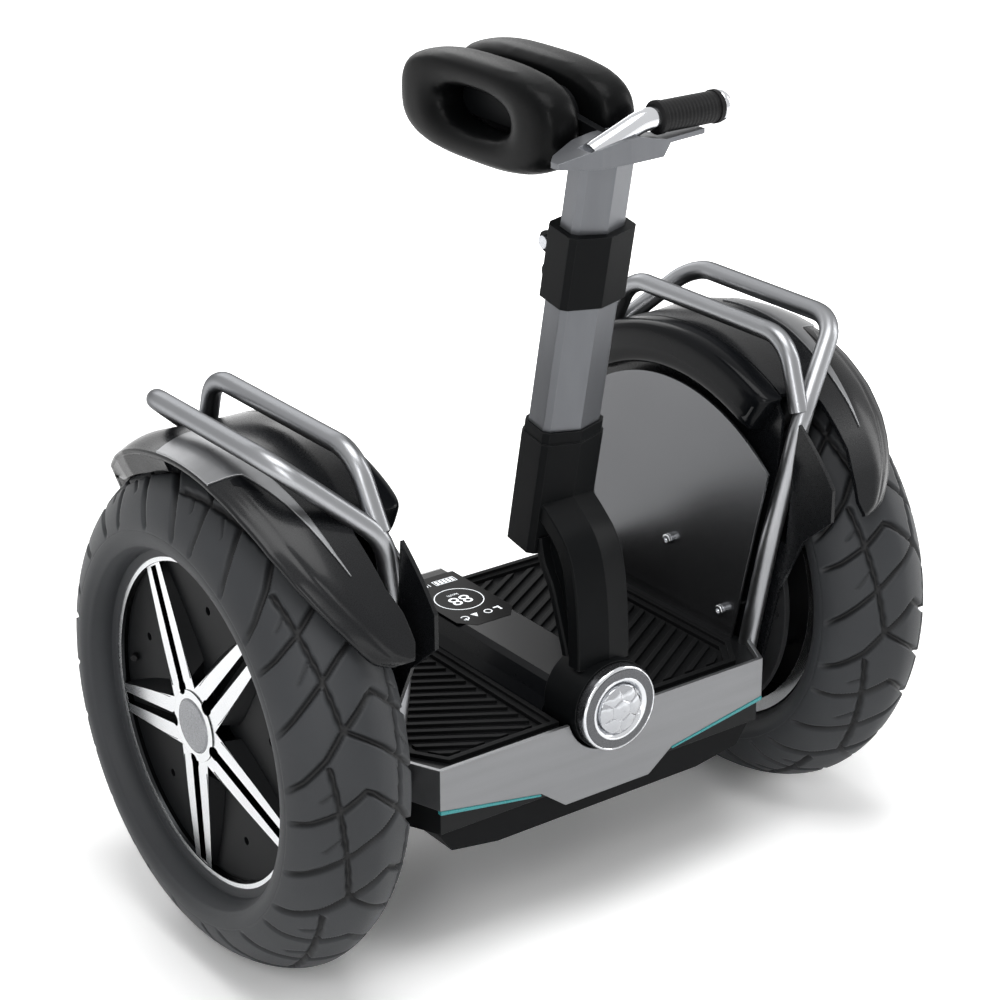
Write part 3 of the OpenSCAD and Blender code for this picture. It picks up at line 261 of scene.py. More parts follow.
def look(name, colour, rough, metal=0.0, vary=0.12, rough_vary=0.08, grain=600.0, relief=0.0,
         stretch=(1, 1, 1), coat=0.0, coat_rough=0.1, wear_and_edge_highlight=0.0, edge=0.0009, spec=0.5,
         slow=14.0, rim=1.0):
    """A finish on Object coordinates. Slow noise breaks up the colour, finer noise the
    roughness and the relief, and a rounded edge normal catches light along corners. The
    corners' colour is lightened, partly as edge wear and partly as a painted highlight
    along them; rim darkens what a metal reflects at a slant."""
    made = bpy.data.materials.new(name)
    made.use_nodes = True
    tree = made.node_tree
    nodes, links = tree.nodes, tree.links
    shader = nodes["Principled BSDF"]
    for socket, value in (("Metallic", metal), ("Specular IOR Level", spec),
                          ("Specular Tint", (rim, rim, rim, 1)), ("Coat Weight", coat),
                          ("Coat Roughness", coat_rough)):
        shader.inputs[socket].default_value = value
    scaled = add(nodes, "Mapping", {"Scale": stretch})
    links.new(add(nodes, "TexCoord").outputs["Object"], scaled.inputs["Vector"])

    def noise(scale, detail):
        grains = add(nodes, "TexNoise", {"Scale": scale, "Detail": detail})
        links.new(scaled.outputs["Vector"], grains.inputs["Vector"])
        return grains.outputs["Fac"]

    def ranged(value, low, high, start=0.3, end=0.7):
        span = add(nodes, "MapRange", {"From Min": start, "From Max": end, "To Min": low,
                                       "To Max": high})
        links.new(value, span.inputs["Value"])
        return span.outputs["Result"]

    cloud, speck = noise(slow, 4.0), noise(grain, 3.0)
    tint = mixed(tree, ranged(cloud, 0.0, 1.0), tuple(c * (1 - vary) for c in colour),
                 tuple(c * (1 + vary) for c in colour))
    round_edge = add(nodes, "Bevel", {"Radius": edge}, samples=4)
    # painted highlight along corners, partly edge wear: where the rounded edge normal turns away
    # from the true normal, the colour moves toward a pale copy of itself
    if wear_and_edge_highlight:
        turn = facing(tree, round_edge.outputs["Normal"],
                      add(nodes, "NewGeometry").outputs["Normal"])
        tint = mixed(tree, ranged(turn, 0.0, wear_and_edge_highlight, 1.0, 0.72), tint,
                     tuple(min(1.0, c * 2.2 + 0.05) for c in colour))
    links.new(tint, shader.inputs["Base Color"])
    links.new(ranged(speck, max(0.02, rough - rough_vary), min(1.0, rough + rough_vary)),
              shader.inputs["Roughness"])
    bump = add(nodes, "Bump", {"Strength": 1.0, "Distance": relief * MM})
    links.new(speck, bump.inputs["Height"])
    links.new(round_edge.outputs["Normal"], bump.inputs["Normal"])
    links.new(bump.outputs["Normal"], shader.inputs["Normal"])
    return made


def by_facing(made, other, axis):
    """Paints faces that look along the axis with the made finish's colour and all others dark."""
    tree = made.node_tree
    geometry = add(tree.nodes, "NewGeometry")
    size = add(tree.nodes, "Math", operation="ABSOLUTE")
    tree.links.new(facing(tree, geometry.outputs["True Normal"], axis), size.inputs[0])
    mask = add(tree.nodes, "MapRange", {"From Min": 0.93, "From Max": 0.97})
    tree.links.new(size.outputs["Value"], mask.inputs["Value"])
    return repaint(made, lambda now: mixed(tree, mask.outputs["Result"], other, now))


def painted_groove_shade(made):
    """Painted shade: darkens the floors of grooves, where shade falls, by the piece's own
    attribute, 1 at the full depth.
    """
    sunk = add(made.node_tree.nodes, "Attribute", attribute_name="sunk")
    return repaint(made, lambda now: mixed(made.node_tree, sunk.outputs["Fac"], now,
                                           (0.004, 0.004, 0.0045)))


def glowing(name, colour, strength):
    """A lit finish: the colour is emitted, a little unevenly along the piece."""
    made = look(name, colour, 0.3, vary=0.05)
    shader = made.node_tree.nodes["Principled BSDF"]
    source = shader.inputs["Base Color"].links[0].from_socket
    made.node_tree.links.new(source, shader.inputs["Emission Color"])
    shader.inputs["Emission Strength"].default_value = strength
    return made


GLOSS_BLACK = look("gloss_black", (0.0045, 0.005, 0.006), 0.20, coat=0.05,
                   rough_vary=0.02, relief=0.001, grain=900, wear_and_edge_highlight=0.12, spec=0.07)
FENDER_BLACK = look("fender_black", (0.006, 0.0065, 0.0075), 0.28, coat=0.08, coat_rough=0.12,
                    rough_vary=0.03, relief=0.001, grain=900, spec=0.18)
SATIN_BLACK = look("satin_black", (0.005, 0.0054, 0.006), 0.40, relief=0.01, grain=1400,
                   wear_and_edge_highlight=0.3, spec=0.06)
COLUMN_BLACK = look("column_black", (0.0048, 0.0053, 0.0058), 0.40, relief=0.01, grain=1600,
                    wear_and_edge_highlight=0.6, spec=0.06, edge=0.0011)
FRAME_BLACK = look("frame_black", (0.006, 0.0064, 0.007), 0.4, relief=0.02, grain=1500,
                   wear_and_edge_highlight=0.35, spec=0.14)
MAT_RUBBER = look("mat_rubber", (0.0045, 0.0048, 0.0052), 0.62, relief=0.03, grain=1800,
                  wear_and_edge_highlight=0.2, vary=0.2, spec=0.1)
# the tyre's groove floors get painted shade from their depth
TYRE_RUBBER = painted_groove_shade(look("tyre_rubber", (0.030, 0.032, 0.035), 0.56, relief=0.03,
                                grain=1500, vary=0.10, spec=0.3, wear_and_edge_highlight=0.2, edge=0.0012))
TUBE_GREY = look("tube_grey", (0.128, 0.133, 0.143), 0.38, metal=0.6, stretch=(6, 6, 0.5),
                 grain=260, relief=0.002, wear_and_edge_highlight=0.5, vary=0.04, rough_vary=0.03, edge=0.0011)
PANEL_GREY = look("panel_grey", (0.112, 0.114, 0.119), 0.24, metal=0.85, grain=200,
                  vary=0.02, rough_vary=0.01, wear_and_edge_highlight=0.3)
BAND_SILVER = look("band_silver", (0.205, 0.208, 0.214), 0.34, metal=0.85, stretch=(0.5, 6, 6),
                   grain=240, relief=0.002, vary=0.04, rough_vary=0.03, wear_and_edge_highlight=0.5, edge=0.0012)
RAIL_STEEL = look("rail_steel", (0.27, 0.275, 0.285), 0.34, metal=1.0, grain=500,
                  vary=0.03, rough_vary=0.01, edge=0.0003, rim=0.25)
CHROME = look("chrome", (0.60, 0.61, 0.63), 0.12, metal=1.0, vary=0.03, rough_vary=0.02)
BRIGHT = by_facing(look("machined_face", (0.62, 0.63, 0.64), 0.24, metal=1.0, grain=500,
                        relief=0.002, vary=0.04, rough_vary=0.02, edge=0.0004),
                   (0.02, 0.021, 0.022), (1, 0, 0))
CAP_GREY = look("cap_grey", (0.20, 0.205, 0.215), 0.3, metal=1.0, grain=500, relief=0.002)
STEEL = look("steel", (0.40, 0.41, 0.43), 0.3, metal=1.0, vary=0.05, relief=0.002)
CAST = look("cast_black", (0.012, 0.0125, 0.0135), 0.5, relief=0.08, grain=900, wear_and_edge_highlight=0.2, spec=0.3)
COPPER = look("winding", (0.42, 0.19, 0.09), 0.4, metal=0.8, grain=800, relief=0.1)
BRONZE = look("bronze", (0.45, 0.30, 0.14), 0.35, metal=1.0)
CELL = look("cell_case", (0.05, 0.12, 0.24), 0.4, vary=0.1)
BOARD = look("board_green", (0.02, 0.10, 0.05), 0.45, vary=0.2)
LEATHER = look("pad_leather", (0.0026, 0.0028, 0.003), 0.36, coat=0.02, coat_rough=0.25,
               relief=0.05, grain=1100, edge=0.0002, spec=0.06)
GRIP_RUBBER = look("grip_rubber", (0.005, 0.005, 0.0055), 0.5, relief=0.04, grain=1500,
                   edge=0.0004, spec=0.14)
GLASS_BLACK = look("display_glass", (0.0015, 0.0015, 0.002), 0.12, rough_vary=0.01,
                   vary=0.05, spec=0.02, edge=0.0003)
LAMP_SILVER = look("lamp_silver", (0.60, 0.61, 0.63), 0.2, metal=0.9, vary=0.05)
LAMP_GLASS = look("lamp_glass", (0.40, 0.41, 0.43), 0.10, metal=0.8, coat=1.0, coat_rough=0.04,
                  vary=0.06, slow=40, rough_vary=0.02)
RING_GREY = look("lamp_ring", (0.10, 0.102, 0.108), 0.26, metal=0.8, vary=0.05, relief=0.002)
TEAL = glowing("teal_lens", (0.03, 0.26, 0.27), 0.22)
SIGN_WHITE = glowing("display_white", (0.80, 0.83, 0.86), 0.75)

# The finish of each CAD node. A name that ends in _ stands for its left and its right one.
CAD_FINISH = [
    (FRAME_BLACK, "deck_frame"), (BAND_SILVER, "front_band crown_strips"),
    (TEAL, "light_strips"), (MAT_RUBBER, "footboard_ lean_stops charge_cap"),
    (GLOSS_BLACK, "console_cover"), (GLASS_BLACK, "display_glass"),
    (SATIN_BLACK, "belly_tray battery_hatch charge_socket wheel_dish_ pad_hub clamp_lever"),
    (CELL, "battery_pack"), (BOARD, "control_board"), (PANEL_GREY, "side_panels"),
    (CHROME, "panel_bolts power_button handle_tube"), (FENDER_BLACK, "fender_ inner_fender_"),
    (CAST, "motor_brackets pivot_block motor_shell_"),
    (STEEL, "axles hub_bearings pivot_shaft clamp_pin"), (COPPER, "motor_stators"),
    (BRONZE, "pivot_bushes"), (BRIGHT, "rim_"), (CAP_GREY, "hub_cap_"),
    (COLUMN_BLACK, "pivot_housing column_arch base_sleeve clamp_collar"),
    (TUBE_GREY, "lower_tube upper_tube top_plate"), (RING_GREY, "lamp_bezel"),
    (LAMP_SILVER, "lamp_reflector"), (LAMP_GLASS, "lamp_lens"), (GRIP_RUBBER, "handle_grip"),
    (LEATHER, "knee_pad_"), (TYRE_RUBBER, "tyre_"), (RAIL_STEEL, "rail_outer_ rail_inner_"),
]
for finish, names in CAD_FINISH:
    for name in names.split():
        for node in (name + "left", name + "right") if name.endswith("_") else (name,):
            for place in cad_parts[node].material_slots:
                place.material = finish

# Tyres ------------------------------------------------------------------------

CROWN_R, HALF_W, SHOULDER_R, BEAD_R, SEAT_R = 241.3, 62.0, 182.9, 163.9, 156.2
BEAD_HALF_W = 38.3
GROOVE_DEPTH, GROOVE_WALL = 5.0, 1.9
TREAD_EDGE = 88.0  # where the tread ends, along the section from the middle of the crown
PERIOD = 360.0 / 9
# Grooves of one side of the tread, as (degrees round the wheel, millimetres across from the
# middle) corners and a half width. The other side is the same, turned back by half a period.
TREAD = [
    ([(32.5, -41), (22.4, -36), (11.2, -30), (0.2, -24)], 2.5),
    ([(22.4, -36), (19.2, -63), (18.0, -82)], 2.4),
    ([(11.2, -30), (4.5, -66), (1.5, -84)], 2.4),
    ([(0.2, -24), (-5.4, -42.8), (-10.4, -66.5), (-13.0, -84)], 2.7),
    ([(22.4, -36), (26.7, -11.6), (25.8, -4.4), (20.2, 23)], 2.6),
    ([(11.2, -30), (14.9, -10.9), (20.2, 23)], 2.2),
    ([(27.5, -38.5), (25.0, -52)], 0.9),
    ([(16.8, -33), (12.3, -50)], 0.9),
]


def tyre_outline():
    """Outer half section of the tyre from the crown to the bead, as radius, across and distance.
    The crown is r = r0 + (R - r0) (1 - |z/w|^1.7)^(1/1.7); the walls are quarter ellipses."""
    a = np.linspace(0, 1, 240)
    z = HALF_W * np.sin(a * math.pi / 2)
    r = SHOULDER_R + (CROWN_R - SHOULDER_R) * np.maximum(0, 1 - (z / HALF_W) ** 1.7) ** (1 / 1.7)
    b = np.linspace(0, math.pi / 2, 60)[1:]
    wall_r = SHOULDER_R - (SHOULDER_R - BEAD_R) * np.sin(b)
    wall_z = HALF_W - (HALF_W - BEAD_HALF_W) * (1 - np.cos(b))
    # a moulded rib runs round the wall beside the bead
    wall_z = wall_z + 1.1 * np.exp(-(((wall_r - 171.0) / 1.6) ** 2))
    r, z = np.concatenate([r, wall_r]), np.concatenate([z, wall_z])
    return r, z, np.concatenate([[0], np.cumsum(np.hypot(np.diff(r), np.diff(z)))])


def groove_depth(angle, across):
    """Share of the full depth at each point: from the least distance to any groove line,
    through a steep smooth wall. The thin sipes go half as deep."""
    deg = np.mod(angle, PERIOD)
    depth = np.zeros(np.broadcast(angle, across).shape)
    mm_per_deg = math.radians(1) * (238.0 - 0.0042 * across ** 2)
    for flip in (1, -1):
        for corners, half in TREAD:
            for (a0, v0), (a1, v1) in zip(corners[:-1], corners[1:]):
                if flip < 0:
                    a0, a1, v0, v1 = a0 - PERIOD / 2, a1 - PERIOD / 2, -v0, -v1
                for turn in (-2, -1, 0, 1, 2):
                    x0, x1 = a0 + turn * PERIOD, a1 + turn * PERIOD
                    if max(x0, x1) < -3 or min(x0, x1) > PERIOD + 3:
                        continue
                    px, py = (deg - x0) * mm_per_deg, across - v0
                    dx, dy = (x1 - x0) * mm_per_deg, v1 - v0
                    t = np.clip((px * dx + py * dy) / (dx * dx + dy * dy), 0, 1)
                    gap = np.hypot(px - t * dx, py - t * dy)
                    full = 1.0 if half > 1 else 0.5
                    wall = eased((half + 1.0 - gap) / GROOVE_WALL)
                    depth = np.maximum(depth, full * wall)
    return depth * eased((TREAD_EDGE - np.abs(across)) / 14.0)


def round_axle(side, r, z, columns):
    """Carries a section, one value of r and z in each row, round the axle of one wheel."""
    a = np.arange(columns)[None, :] * TAU / columns
    return np.stack([side * (TYRE_MID + z + 0 * a), -r * np.cos(a), AXLE_Z + r * np.sin(a)], -1)


def tread(side, columns=1080, rows=86):
    """Tread skin: the crown pushed in by the groove depth along its normal, with its own
    coarser back 9 mm below. Returns the closed shape and the share of depth at each point."""
    r, z, s = tyre_outline()
    v = np.linspace(-TREAD_EDGE, TREAD_EDGE, rows)
    ro, zo = np.interp(np.abs(v), s, r), np.sign(v) * np.interp(np.abs(v), s, z)
    nr, nz = np.gradient(zo), -np.gradient(ro)
    size = np.hypot(nr, nz)
    share = groove_depth(np.arange(columns)[None, :] * 360.0 / columns, v[:, None])
    rr = ro[:, None] - GROOVE_DEPTH * share * (nr / size)[:, None]
    zz = zo[:, None] - GROOVE_DEPTH * share * (nz / size)[:, None]
    coarse = v[::-14]
    back_r = np.interp(np.abs(coarse), s, r) - 9.0
    back_z = np.sign(coarse) * np.interp(np.abs(coarse), s, z) * 0.9
    rr = np.vstack([rr, np.repeat(back_r[:, None], columns, 1)])
    zz = np.vstack([zz, np.repeat(back_z[:, None], columns, 1)])
    share = np.vstack([share, np.zeros((len(back_r), columns))])
    return closed_grid(round_axle(side, rr, zz, columns), wrap_rows=True), share.ravel()


def sidewalls(side, columns=360):
    """Both sidewalls, the seats on the rim and the carcass under the tread, as one ring."""
    r, z, s = tyre_outline()
    v = np.linspace(TREAD_EDGE, s[-1], 24)
    ro, zo = np.interp(v, s, r), np.interp(v, s, z)
    seat = [(SEAT_R, 37.5), (SEAT_R, 12.0), (SEAT_R, -12.0), (SEAT_R, -37.5)]
    under = [(ro[0] - 1.5, -zo[0] + 3.0), (215.0, -40.0), (228.0, 0.0), (215.0, 40.0),
             (ro[0] - 1.5, zo[0] - 3.0)]
    outline = np.vstack([np.column_stack([ro, zo]), seat,
                         np.column_stack([ro[::-1], -zo[::-1]]), under])
    return closed_grid(round_axle(side, outline[:, :1], outline[:, 1:], columns), wrap_rows=True)


for word, side in SIDES:
    shape, depth = tread(side)
    made = piece("tread_skin_" + word, [shape], TYRE_RUBBER, "wheel_" + word,
                 sharp=70)
    # the depth share drives the painted shade on the groove floors
    sunk = made.data.attributes.new("sunk", "FLOAT", "POINT")
    sunk.data.foreach_set("value", depth.astype(np.float32))
    piece("sidewall_skin_" + word, [sidewalls(side)], TYRE_RUBBER, "wheel_" + word,
          sharp=50)
    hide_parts("tyre_" + word)

# Wheel trim -------------------------------------------------------------------

SPOKES, SPOKE_PHASE = 5, 49.2
DISH_FACE = 28.3  # of the dark dish, outward from the wheel's middle plane
FLANK_IN, FLANK_RUN, V_SPREAD = 46.0, 106.0, 15.0
FLANK_LIMIT = 36.0  # half the angle from one spoke to the next
VALVE_R, VALVE_TURN = 148.0, math.radians(5)


def wheel_point(side, radius, degrees, across):
    """A point of the wheel: degrees run from straight ahead up over the top."""
    a = np.radians(degrees)
    return np.stack(np.broadcast_arrays(side * (TYRE_MID + across), -radius * np.cos(a),
                                        AXLE_Z + radius * np.sin(a)), -1)


def flank(side, spoke, way):
    """Sloping wall beside a spoke: a strip between the spoke's edge, from the hub's V to the
    ring, and a line on the dish that opens from the ring to 12.5 mm away at the V."""
    t = np.linspace(0, 1, 24)
    radius = FLANK_IN + t * FLANK_RUN
    foot_r = FLANK_IN + V_SPREAD * (1 - t) + t * FLANK_RUN
    half = 22.5 - 8.5 * t
    edge = way * np.degrees(np.arctan2(half, radius))
    wide = way * np.degrees(np.arctan2(half + 12.5 * (1 - t) ** 0.8, foot_r))
    wide = np.clip(wide, -FLANK_LIMIT, FLANK_LIMIT)
    middle = SPOKE_PHASE + spoke * 360.0 / SPOKES
    top = wheel_point(side, radius, middle + edge, DISH_FACE + 5.4 + 9.0 * (1 - t))
    foot = wheel_point(side, foot_r, middle + wide, DISH_FACE + 0.25)
    under = wheel_point(side, radius, middle + edge * 0.96, DISH_FACE - 0.4)
    return closed_grid(np.stack([top, foot, under], 1))


for word, side in SIDES:
    parts = [flank(side, k, way) for k in range(SPOKES) for way in (-1, 1)]
    piece("spoke_flanks_" + word, parts, SATIN_BLACK, "wheel_" + word, sharp=30)
    foot = (TYRE_MID + 20.0, VALVE_R * math.cos(VALVE_TURN),
            AXLE_Z + VALVE_R * math.sin(VALVE_TURN))
    stem = [mirrored(turned([(0.01, 0), (3.4, 0), (3.4, 3), (2.6, 4.2), (2.6, 15), (3.6, 16),
                             (3.6, 21), (3.0, 22), (0.01, 22)], foot, (0.6, -0.8, 0.0), 20),
                     side)]
    piece("valve_stem_" + word, stem, GRIP_RUBBER, "wheel_" + word)

# Guard rails ------------------------------------------------------------------

RAIL_R = 9.5
POST_FOOT, POST_KNEE, POST_NECK = (213, -113, 194), (215, -140, 326), (240, -151, 452)
OUT_FRONT, IN_FRONT = (320, -106, 523), (246, -118, 521)


def to_back(p):
    return (p[0], -p[1], p[2])


def rail_parts(side):
    """Two bent tubes: the outer hoop from deck to deck, the inner one from neck to neck and
    thinner by a hair, so that the two skins don't share a surface where they meet."""
    outer = rounded_path([POST_FOOT, POST_KNEE, POST_NECK, OUT_FRONT, to_back(OUT_FRONT),
                          to_back(POST_NECK), to_back(POST_KNEE), to_back(POST_FOOT)],
                         [120, 45, 42, 42, 45, 120])
    start = (POST_NECK[0], POST_NECK[1] + 4, POST_NECK[2] + 3)  # inside the outer tube
    inner = rounded_path([start, IN_FRONT, to_back(IN_FRONT), to_back(start)], [40, 40])
    parts = [swept(fine(outer, 14), RAIL_R), swept(fine(inner, 14), RAIL_R - 0.15)]
    return [mirrored(p, side) for p in parts]


for word, side in SIDES:
    made = piece("guard_rails_" + word, rail_parts(side), RAIL_STEEL, "chassis",
                 sharp=40)
    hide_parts("rail_outer_" + word, "rail_inner_" + word)

# Fenders ----------------------------------------------------------------------

FENDER_R, FENDER_IN = 264.0, 229.8
EDGE_AT = np.array([-66, -64, -62, -55, -51, -45, -38, -31, -25, 12, 22, 32, 40, 45, 49, 53, 56.5,
                    58.5, 59.6, 60.3])
EDGE_X = np.array([262, 276, 284, 300, 307, 320, 335, 343, 347, 348, 346, 341, 333, 325, 317, 307,
                   297, 290, 282, 271])
# The inner edge leaves the wall where the guard rail's post comes through.
INNER_AT = np.array([-66, -40, -34, -31.6, -30.6, -29.8, 29.8, 30.6, 31.6, 34, 46, 51, 57, 60.3])
INNER_X = np.array([250, 262, 263, 261, 252, 229.8, 229.8, 254, 264, 267, 264.5, 258, 254.5, 259])


def over_wheel(side, degrees, radius, x):
    """A point over the wheel: degrees run from the top toward the front."""
    a = np.radians(degrees)
    return np.stack(np.broadcast_arrays(side * x, -radius * np.sin(a),
                                        AXLE_Z + radius * np.cos(a)), -1)


def fender_height(degrees, t):
    """Radius of the outer skin: a flat crown that falls over its last third to the edge, swells
    by 3 mm behind the top, and turns down at both ends."""
    drop = 10.0 * np.clip((t - 0.66) / 0.34, 0, 1) ** 2.0
    ends = eased((degrees - 50.0) / 12.0) * 6.0 + eased((-degrees - 56.0) / 12.0) * 6.0
    swell = 3.0 * np.exp(-(((degrees + 26.0) / 13.0) ** 2)) * eased((t - 0.3) / 0.5)
    return FENDER_R + 0.8 - drop - ends + swell


def fender_width(degrees):
    return np.interp(degrees, EDGE_AT, EDGE_X) - FENDER_IN


def fender(side):
    """Curved shell: rows go round the wheel, columns go out over the skin, round the rolled
    lip and back under it, 4.8 mm lower."""
    degrees = np.linspace(EDGE_AT[0], EDGE_AT[-1], 240)
    wide = fender_width(degrees)[:, None]
    start = np.interp(degrees, INNER_AT, INNER_X)[:, None]
    x = start + np.linspace(0, 1, 40)[None, :] * (FENDER_IN + wide - start)
    t = (x - FENDER_IN) / wide
    # a shallow crease runs 12 mm inside the edge, and the lip beyond it stands up a little
    to_edge = (1 - t) * wide
    crease = 0.9 * np.exp(-(((to_edge - 12.0) / 2.2) ** 2)) * eased((degrees[:, None] - 10) / 8)
    top = fender_height(degrees[:, None], t) - crease
    lip = np.linspace(math.pi / 2, -math.pi / 2, 9)[1:-1]
    lip_x = x[:, -1:] + 2.6 * np.cos(lip)[None, :]
    lip_r = top[:, -1:] - 3.0 + 3.0 * np.sin(lip)[None, :]
    under_x, under_r = x[:, ::-1], top[:, ::-1] - 4.8 - 1.2 * (t[:, ::-1] > 0.95)
    return closed_grid(over_wheel(side, degrees[:, None], np.hstack([top, lip_r, under_r]),
                                  np.hstack([x, lip_x, under_x])))


def laid_on(side, degrees, inner, outer, columns, proud):
    """A thin plate on the fender's skin, between an inner and an outer edge line: its top is
    proud of the skin by the given height and its back 1 mm below the skin."""
    t = np.linspace(0, 1, columns)
    x = inner[:, None] + t[None, :] * (outer - inner)[:, None]
    share = np.clip((x - FENDER_IN) / fender_width(degrees)[:, None], 0, 1)
    skin = fender_height(degrees[:, None], share)
    return closed_grid(over_wheel(side, degrees[:, None],
                                  np.hstack([skin + proud, (skin - 1.0)[:, ::-1]]),
                                  np.hstack([x, x[:, ::-1]])))


def crown_strip(side):
    """Metal strip on the crown, 1.4 mm proud: its inner edge runs nearly straight, its outer
    edge follows the fender's to 12 degrees, steps in and then slants to a point at 42."""
    degrees = np.linspace(-10, 42, 90)
    inner = np.interp(degrees, [-10, 11, 23, 37, 42], [308, 306, 299, 293.5, 290])
    outer = np.interp(degrees, [-10, 10.5, 11.5, 12.5, 24, 36, 42],
                      [348.6, 349.2, 336, 322, 308, 297, 290.6])
    return laid_on(side, degrees, inner, outer, 16, 1.4)


def recess_shade_sheet(side):
    """Painted shade: a black wedge sheet in front of the strip's step, 0.5 mm proud of the skin,
    laid where a recess lies in shade.
    """
    degrees = np.linspace(12.6, 19.5, 24)
    inner = np.interp(degrees, [12.6, 19.5], [323.5, 319])
    outer = np.interp(degrees, [12.6, 14, 19.5], [333, 334, 320])
    return laid_on(side, degrees, inner, outer, 8, 0.5)


def side_skirt(side):
    """Deeper side wall of the rear end: its lower edge sits 26 to 31 mm under the crown and its
    rear corner is rounded, r_low = R - 31 + 10 (1 - sqrt(1 - u^2)) over the last 9 degrees."""
    degrees = np.linspace(-8, -38.5, 60)
    u = np.clip((-degrees - 29.5) / 9.0, 0, 1)
    x_edge = np.interp(degrees, EDGE_AT, EDGE_X)
    low = FENDER_R - 31.0 + 10.0 * (1 - np.sqrt(1 - u ** 2)) + 5.0 * eased((degrees + 20) / 12)
    high = FENDER_R - 8.5 - 14.0 * (1 - np.sqrt(1 - u ** 2))
    t = np.linspace(0, 1, 12)[None, :]
    r = low[:, None] + t * (high - low)[:, None]
    face = np.minimum(x_edge, 346.5)[:, None] + 1.5 - 5.0 * (1 - t) ** 1.5
    back = face[:, ::-1] - 4.4
    return closed_grid(over_wheel(side, degrees[:, None], np.hstack([r, r[:, ::-1]]),
                                  np.hstack([face, back])))


def arch_bulge(side):
    """Moulded bulge of the inner wall: a raised sector of a ring, whose height is the product
    of (1 - |p|^5)^(1/5) across and (1 - |q|^14)^(1/5) along."""
    rows, cols = 90, 40
    p = np.sin(np.linspace(-math.pi / 2, math.pi / 2, cols))
    q = np.sin(np.linspace(-math.pi / 2, math.pi / 2, rows))
    radius = 242.5 + 22.3 * p[None, :] + np.zeros((rows, 1))
    degrees = 30.8 * q[:, None]
    across, along = (np.maximum(0, 1 - np.abs(u) ** k) ** 0.2 for u, k in ((p, 5), (q, 14)))
    high = across[None, :] * along[:, None]
    slope = 1.0 - 0.10 * np.clip((p + 0.2), 0, 1)[None, :]
    face = over_wheel(side, degrees, radius, 226.4 - 25.6 * high * slope)
    back = over_wheel(side, degrees, radius, 227.6 + 0 * high)
    return closed_grid(np.concatenate([face, back[:, ::-1]], 1))


for word, side in SIDES:
    made = piece("fender_skin_" + word, [fender(side)], FENDER_BLACK, "chassis")
    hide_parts("fender_" + word)
    # black sheet as painted shade of the recess in front of the strip's step
    piece("recess_shade_sheet_" + word, [recess_shade_sheet(side)], GLOSS_BLACK, "chassis")
    piece("side_skirt_" + word, [side_skirt(side)], FENDER_BLACK, "chassis")
    piece("arch_bulge_" + word, [arch_bulge(side)], GLOSS_BLACK, "chassis")
made = piece("strip_skins", [crown_strip(side) for _, side in SIDES], BAND_SILVER, "chassis")
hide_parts("crown_strips")

# Column arch ------------------------------------------------------------------

ARCH_RIDGE = np.array([[-101, 417], [-106.5, 413.8], [-120, 404], [-137, 389], [-149, 369],
                       [-156, 343], [-160, 312], [-162, 280], [-162, 262]], float)


def smooth_line(points, count):
    """Catmull-Rom curve through the points: the tangent at each is half of its neighbours' gap."""
    padded_ends = np.vstack([2 * points[0] - points[1], points, 2 * points[-1] - points[-2]])
    s = np.linspace(0, len(points) - 1 - 1e-9, count)
    i, f = s.astype(int), (s % 1)[:, None]
    p0, p1, p2, p3 = (padded_ends[i + k] for k in range(4))
    return 0.5 * (2 * p1 + (p2 - p0) * f + (2 * p0 - 5 * p1 + 4 * p2 - p3) * f ** 2
                  + (3 * p1 - p0 - 3 * p2 + p3) * f ** 3)


def carried(line, section):
    """A section of (across, depth) pairs carried down a Y-Z line; depth goes along the line's
    own normal."""
    d = tangents(line)
    n = np.stack([-d[:, 1], d[:, 0]], -1)
    section = np.array(section, float)
    x = np.broadcast_to(section[None, :, 0], (len(line), len(section)))
    y = line[:, 0, None] + n[:, 0, None] * section[None, :, 1]
    z = line[:, 1, None] + n[:, 1, None] * section[None, :, 1]
    return closed_grid(np.stack([x, y, z], -1))


def arch_band():
    """Band carried down a smooth ridge line: two flat facets that meet in a sharp ridge, thin
    chamfers at their edges, straight sides and a flat back."""
    return carried(smooth_line(ARCH_RIDGE, 64),
                   [[0, 0], [28.8, 7.6], [30, 9.2], [30, 22.8], [28.8, 24], [-28.8, 24],
                    [-30, 22.8], [-30, 9.2], [-28.8, 7.6]])


def arch_plate(outline, half, edge=1.6):
    """A plate across the middle: its Y-Z outline at full size, drawn in by edge at both faces
    towards its middle."""
    outline = np.array(outline, float)
    middle = outline.mean(0)
    away = outline - middle
    size = np.linalg.norm(away, axis=1, keepdims=True)
    small = middle + away * (1 - edge / size)
    rows = [np.column_stack([np.full(len(outline), x), o]) for x, o in
            ((-half, small), (edge - half, outline), (half - edge, outline), (half, small))]
    return closed_grid(np.array(rows))


# The outline of the plate between the arch's band and its rear leg.
WEB = [[-96, 366], [-106, 340], [-116, 305], [-127, 275], [-150, 275], [-150, 320], [-141, 356],
       [-127, 378], [-100, 388]]


def rear_leg():
    """Thin leg behind the arch: a rounded bar carried down its own line."""
    line = smooth_line(np.array([[-89, 374], [-95, 352], [-109, 330], [-119, 304], [-129.5, 275],
                                 [-131, 269]], float), 40)
    return carried(line, [[-29, -3], [-27.5, -4.4], [27.5, -4.4], [29, -3], [29, 3], [27.5, 4.4],
                          [-27.5, 4.4], [-29, 3]])


made = piece("arch_body", [arch_band(), arch_plate(WEB, 20), rear_leg()], COLUMN_BLACK,
             "column", sharp=16)
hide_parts("column_arch")

# Lamp -------------------------------------------------------------------------

LAMP_Y, PIVOT_Z = -180.0, 225.0
LAMP_AXIS = ((0, LAMP_Y, PIVOT_Z), (0, 1, 0))
DOME_R, CELL = 24.2, 19.0


